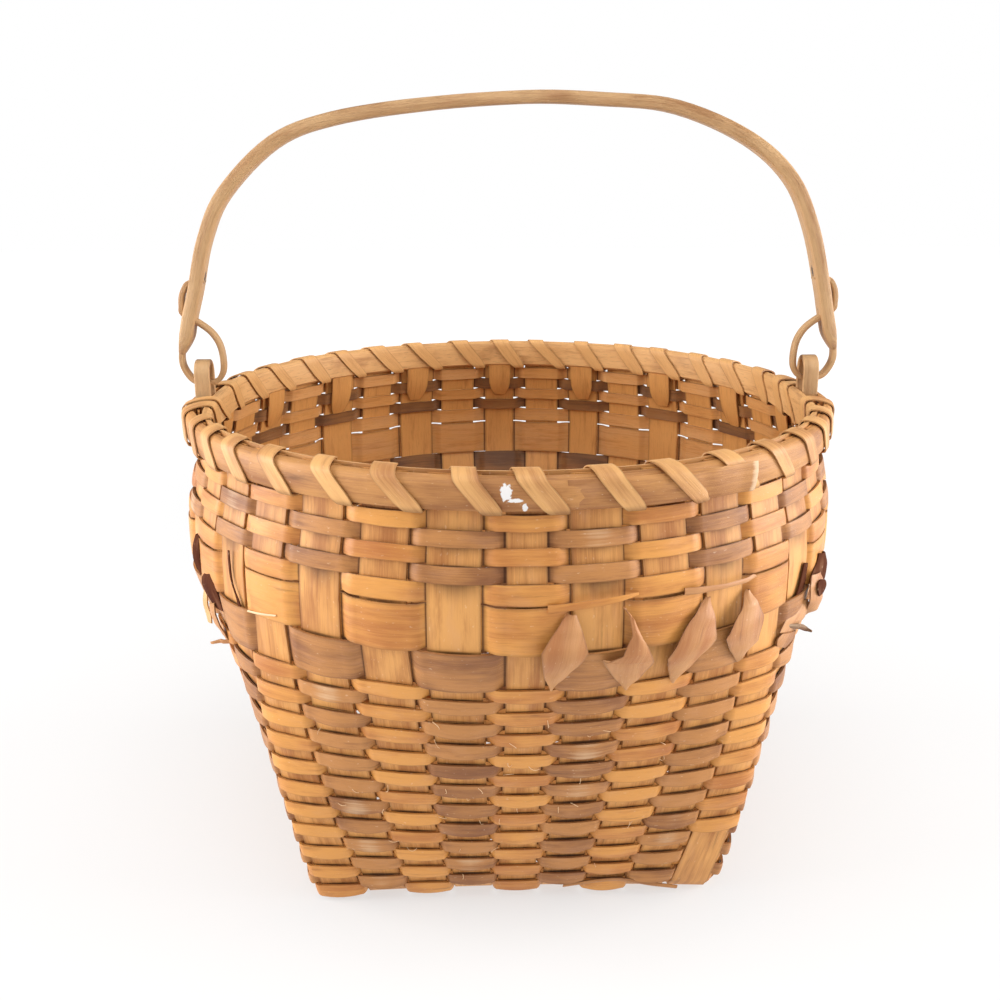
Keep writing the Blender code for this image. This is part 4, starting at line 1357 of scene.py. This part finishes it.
# Folded tips: heights of their fold and their tucked end in millimetres, and their outline
# as share of the length, width and stand-off
TIP_TOP = 199.0
TIP_BOTTOM = 179.0
TIP_OUTLINE = (
    (0.0, 13.6, -2.7), (0.3, 13.2, -2.5), (0.55, 12.6, -2.3), (0.72, 11.4, -2.0),
    (0.86, 9.4, -1.5), (1.0, 6.4, -0.9),
)


def fold_tips(wall):
    """Ends of alternate uprights, cut to a point, folded inside and tucked in."""
    size = wall.size
    tips = []
    for index in range(0, wall.places, 2):
        chance = random.Random(300 + index)
        middle, _half = wall.upright(index, size.upper_bottom)
        spacing = wall.frame(middle, size.rim_bottom)[2]
        bottom = TIP_BOTTOM + chance.uniform(-1.5, 2.5)
        tone = chance.uniform(-0.5, 0.3)
        lean = chance.uniform(-0.05, 0.05)
        table = []
        for share, width, out in TIP_OUTLINE:
            height = TIP_TOP + share * (bottom - TIP_TOP)
            station = []
            for across in (-1.0, -0.5, 0.0, 0.5, 1.0):
                beside = across * 0.5 * width * MM
                place = middle + lean * share + beside / spacing
                point = wall.on(place, height * MM, (out - 0.4 * (1.0 - across * across)) * MM)
                finish = finish_of(tone, 0.0, abs(across))
                station.append([point, height * MM + index, beside + index, finish])
            table.append(station)
        tip = sheet_of_wood("folded_tip", table)
        thicken(tip, 0.6 * MM, even=False)
        tips.append(tip)
    return finish_piece(join(tips, "folded_tips"), "upright", "basket", kind="tip")


# Handle

# Marks of the bow, the bar's ends and the tails, in shares of the rim's radius, the
# bow's rise and the ring's height
BOW = (
    (-1.005, 0.0), (-0.965, 0.262), (-0.893, 0.505), (-0.731, 0.765), (-0.548, 0.882),
    (-0.273, 0.952), (0.051, 0.990), (0.305, 0.978), (0.528, 0.938), (0.756, 0.778),
    (0.899, 0.570), (0.975, 0.310), (1.024, 0.0),
)
BAR_END = (
    (0.188, 1.123, 1.0, 1.0), (0.259, 0.815, 1.0, 1.0),
    (0.308, 0.663, 0.85, 0.62), (0.372, 0.500, 0.0, 0.0),
)
TAIL_RING = (
    (0.370, 0.312), (0.290, 0.138), (0.175, 0.028), (0.0, 0.0), (-0.180, 0.030),
    (-0.290, 0.188), (-0.305, 0.417), (-0.262, 0.652), (-0.145, 0.848), (0.040, 1.0),
)
TAIL_BULGE = ((1.167, -0.033), (1.290, 0.020), (1.442, 0.050), (1.580, 0.034), (1.674, -0.033))
TAIL_TIP = 1.717


def on_side(side, out, up):
    """Point out from the middle of an ear and up from the hinge axis, in shares of the ring."""
    radius = bpy.context.scene.basket_sizes.rim_radius
    size = bpy.context.scene.handle_sizes
    return Vector((
        side * (radius + out * size.ring) + size.shift, 0.0, size.axis_height + up * size.ring,
    ))


def bar_end(side):
    """Marks of one end of the bar, from the bow down to where the tail is thinned."""
    size = bpy.context.scene.handle_sizes
    marks = []
    for out, up, wide, thick in BAR_END:
        marks.append((on_side(side, out, up), (
            size.tail_width + wide * (size.width - size.tail_width),
            size.tail_thickness + thick * (size.thickness - size.tail_thickness),
            0.5 * MM + thick * 1.3 * MM,
        )))
    return marks


def bar_marks():
    """Marks of the bar from the left end to the right one, with width, thickness, chamfer."""
    size = bpy.context.scene.handle_sizes
    radius = bpy.context.scene.basket_sizes.rim_radius
    marks = list(reversed(bar_end(-1.0)))
    foot = size.axis_height + size.foot
    for across, up in BOW:
        share = smooth(1.0 - abs(across))
        thickness = size.thickness + share * (size.top_thickness - size.thickness)
        point = Vector((across * radius, 0.0, foot + up * size.rise))
        marks.append((point, (size.width, thickness, 1.8 * MM)))
    return marks + bar_end(1.0)


def beside_bar(side, up, out):
    """Point at a share of the ring's height beside the bar, out from its middle line."""
    size = bpy.context.scene.handle_sizes
    height = size.axis_height + up * size.ring
    centers = [point for point, _values in smooth_route(bar_marks(), 2) if point.x * side > 0.0]
    centers.sort(key=lambda point: point.z)
    for low, high in zip(centers, centers[1:]):
        if low.z <= height <= high.z:
            found = low.lerp(high, (height - low.z) / (high.z - low.z))
    return found + Vector((side * out, 0.0, 0.0))


def tail_marks(side):
    """Marks of one tail: round its ear, out through one slot and in through the other."""
    size = bpy.context.scene.handle_sizes
    values = (size.tail_width, size.tail_thickness, 0.6 * MM)
    face = size.thickness / 2.0
    points = [on_side(side, *BAR_END[-2][:2]), on_side(side, *BAR_END[-1][:2])]
    points += [on_side(side, out, up) for out, up in TAIL_RING]
    for up, stand_off in TAIL_BULGE:
        out = face + size.tail_thickness / 2.0 + stand_off * size.ring
        points.append(beside_bar(side, up, out))
    points.append(beside_bar(side, TAIL_TIP, -face - 0.15 * MM))
    return [(point, values) for point in points]


def stick_corners(width, thickness, chamfer):
    """Closed section of a stick, each corner chamfered and softened."""
    wide, thick = width / 2.0, thickness / 2.0
    soft = 0.3 * chamfer
    corners = []
    for sx, sy in ((1, 1), (-1, 1), (-1, -1), (1, -1)):
        trio = [
            (sx * wide, sy * (thick - chamfer)), (sx * (wide - soft), sy * (thick - soft)),
            (sx * (wide - chamfer), sy * thick),
        ]
        corners += trio if sx * sy > 0 else list(reversed(trio))
    return [*corners, corners[0]]


def shaved_stick(name, route, seed):
    """Stick with a chamfered section along a route in the XZ plane."""
    side = Vector((0.0, 1.0, 0.0))
    runs = lengths_along([center for center, _values in route])
    table = []
    for at, (center, values) in enumerate(route):
        ahead = route[min(at + 1, len(route) - 1)][0]
        behind = route[max(at - 1, 0)][0]
        normal = side.cross((ahead - behind).normalized()).normalized()
        corners = stick_corners(*values)
        finish = finish_of(0.1 + 0.5 * wander(seed + 4, runs[at] * 30.0), 0.0, 0.2)
        station = []
        girth = 0.0
        for number, (across, out) in enumerate(corners):
            if number:
                girth += math.dist(corners[number - 1], corners[number])
            wobble = 0.12 * MM * wander(seed + number * 0.2, runs[at] * 45.0)
            point = center + side * across
            point += normal * (out + (wobble if out > 0.0 else -wobble))
            if number == len(corners) - 1:
                point = station[0][0].copy()
            station.append([point, runs[at] + seed, girth + seed, finish])
        table.append(station)
    item = sheet_of_wood(name, table)
    edit(item)
    bpy.ops.mesh.remove_doubles(threshold=SEAM)
    bpy.ops.mesh.select_all(action="DESELECT")
    bpy.ops.mesh.select_non_manifold()
    bpy.ops.mesh.edge_face_add()
    bpy.ops.object.mode_set(mode="OBJECT")
    return item


# Stage

# Camera before its turn round the basket, and the point that the lights face
CAMERA_PLACE = Vector((-4.16, -530.018, 315.065)) * MM
LIT_POINT = Vector((0.0, 0.0, 0.12))


def light_world(scene, sky):
    """Even light from all round, which the camera sees as plain white."""
    scene.world = bpy.data.worlds.new("studio")
    scene.world.use_nodes = True
    tree = scene.world.node_tree
    mixer = tree.nodes.new("ShaderNodeMixShader")
    rays = tree.nodes.new("ShaderNodeLightPath")
    tree.links.new(rays.outputs["Is Camera Ray"], mixer.inputs[0])
    shown = tree.nodes.new("ShaderNodeBackground")
    for at, background, strength in ((1, tree.nodes["Background"], sky), (2, shown, 1.0)):
        background.inputs["Color"].default_value = (1.0, 1.0, 1.0, 1.0)
        background.inputs["Strength"].default_value = strength
        tree.links.new(background.outputs[0], mixer.inputs[at])
    tree.links.new(mixer.outputs[0], tree.nodes["World Output"].inputs["Surface"])


def hang_light(name, place, power):
    """Square area light a metre wide that faces the basket."""
    deselect()
    bpy.ops.object.light_add(type="AREA", location=place)
    lamp = bpy.context.object
    lamp.name = name
    lamp.data.size = 1.0
    lamp.data.energy = power
    lamp.rotation_euler = (LIT_POINT - Vector(place)).to_track_quat("-Z", "Y").to_euler()


def place_camera(scene, settings):
    """Camera that sees the basket as the photograph does."""
    camera = bpy.data.cameras.new("camera")
    camera.lens = settings.lens
    camera.sensor_width = 36.0
    camera.clip_start = 0.01
    holder = bpy.data.objects.new("camera", camera)
    scene.collection.objects.link(holder)
    turn = Matrix.Rotation(settings.view_turn, 4, "Z")
    tilt = Matrix.Rotation(settings.view_pitch, 4, "X")
    roll = Matrix.Rotation(settings.view_roll, 4, "Z")
    holder.matrix_world = Matrix.Translation(turn @ CAMERA_PLACE) @ turn @ tilt @ roll
    scene.camera = holder


# Operators

class BASKET_OT_splints(bpy.types.Operator):
    """Weave the eighteen long splints of the base and the uprights"""

    bl_idname = "basket.splints"
    bl_label = "Long splints"

    def execute(self, context):
        wall = Wall()
        for number in range(wall.size.per_side):
            weave_splint(wall, number, False)
            weave_splint(wall, number, True)
        return {"FINISHED"}


class BASKET_OT_rows(bpy.types.Operator):
    """Weave the narrow rows and the two wide bands"""

    bl_idname = "basket.rows"
    bl_label = "Woven rows"

    def execute(self, context):
        wall = Wall()
        for plan in row_plans(wall.size):
            weave_row(wall, plan)
        return {"FINISHED"}


class BASKET_OT_rim(bpy.types.Operator):
    """Bend the hoops and the ears and wind the lashing"""

    bl_idname = "basket.rim"
    bl_label = "Rim"

    def execute(self, context):
        rim = Rim(Wall())
        bend_hoop(rim, "bent_outer_hoop", "outer_hoop", 1.0, OUTER_SECTION, 5)
        bend_hoop(rim, "bent_inner_hoop", "inner_hoop", -1.0, INNER_SECTION, 8)
        lap_outer_hoop(rim)
        wrap_lashing(rim)
        bend_ear(rim, "ear_left", -1.0)
        bend_ear(rim, "ear_right", 1.0)
        return {"FINISHED"}


class BASKET_OT_twists(bpy.types.Operator):
    """Lay the curled twists, the loose splints and the folded tips"""

    bl_idname = "basket.twists"
    bl_label = "Twists and loose ends"

    def execute(self, context):
        wall = Wall()
        for number, (left, right) in enumerate(TWIST_EDGES):
            look = ("light_row", "twist", 1.0, -0.9, 0.8, 0.1, 60 + number)
            name = f"twist_{number + 1}"
            loose_strip(wall, f"curled_{name}", left, right, look, name)
        for name, left, right, look in LOOSE_STRIPS:
            loose_strip(wall, name, left, right, look)
        raise_hairs(wall)
        fold_tips(wall)
        return {"FINISHED"}


class BASKET_OT_handle(bpy.types.Operator):
    """Shave and bend the handle with its two tails"""

    bl_idname = "basket.handle"
    bl_label = "Handle"

    def execute(self, context):
        sticks = [shaved_stick("handle_bar", smooth_route(bar_marks(), 6), 11)]
        for side in (-1.0, 1.0):
            sticks.append(shaved_stick("handle_tail", smooth_route(tail_marks(side), 5), 14 + side))
        handle = join(sticks, "bent_handle")
        finish_piece(handle, "handle", "handle", "handle")
        return {"FINISHED"}


class BASKET_OT_stage(bpy.types.Operator):
    """Lay the floor and set the lights and the camera"""

    bl_idname = "basket.stage"
    bl_label = "Stage"

    def execute(self, context):
        settings = context.scene.stage_settings
        deselect()
        bpy.ops.mesh.primitive_plane_add(size=8.0, location=(0.0, 0.0, 0.0))
        floor = context.object
        floor.name = "floor"
        floor.data.materials.append(plain_stage("floor", 0.30, 0.92, 0.80))
        light_world(context.scene, settings.sky)
        hang_light("left_light", (-1.4, -0.05, 0.45), settings.side_light)
        hang_light("right_light", (1.4, -0.05, 0.45), settings.side_light)
        hang_light("top_light", (0.0, -0.35, 1.6), settings.top_light)
        hang_light("front_light", (0.0, -1.5, 1.1), settings.front_light)
        place_camera(context.scene, settings)
        context.scene.view_settings.view_transform = "Standard"
        return {"FINISHED"}


class BASKET_PT_panel(bpy.types.Panel):
    """Buttons for each group of pieces"""

    bl_idname = "BASKET_PT_panel"
    bl_label = "Splint Basket"
    bl_space_type = "VIEW_3D"
    bl_region_type = "UI"
    bl_category = "Splint Basket"

    def draw(self, context):
        for operator in PIECES:
            self.layout.operator(operator.bl_idname)


GROUPS = {
    "basket_sizes": BasketSizes,
    "rim_sizes": RimSizes,
    "handle_sizes": HandleSizes,
    "wood_colours": WoodColours,
    "stage_settings": StageSettings,
}
PIECES = (
    BASKET_OT_stage,
    BASKET_OT_splints,
    BASKET_OT_rows,
    BASKET_OT_twists,
    BASKET_OT_rim,
    BASKET_OT_handle,
)


def register():
    """Add the properties, the operators and the panel."""
    for group in (*GROUPS.values(), *PIECES, BASKET_PT_panel):
        bpy.utils.register_class(group)
    for name, group in GROUPS.items():
        setattr(bpy.types.Scene, name, PointerProperty(type=group))


def unregister():
    """Take them away again."""
    for name in GROUPS:
        delattr(bpy.types.Scene, name)
    for group in reversed((*GROUPS.values(), *PIECES, BASKET_PT_panel)):
        bpy.utils.unregister_class(group)


def main():
    """Build every group of pieces."""
    register()
    for operator in PIECES:
        module, name = operator.bl_idname.split(".")
        getattr(getattr(bpy.ops, module), name)()


if __name__ == "__main__":
    main()
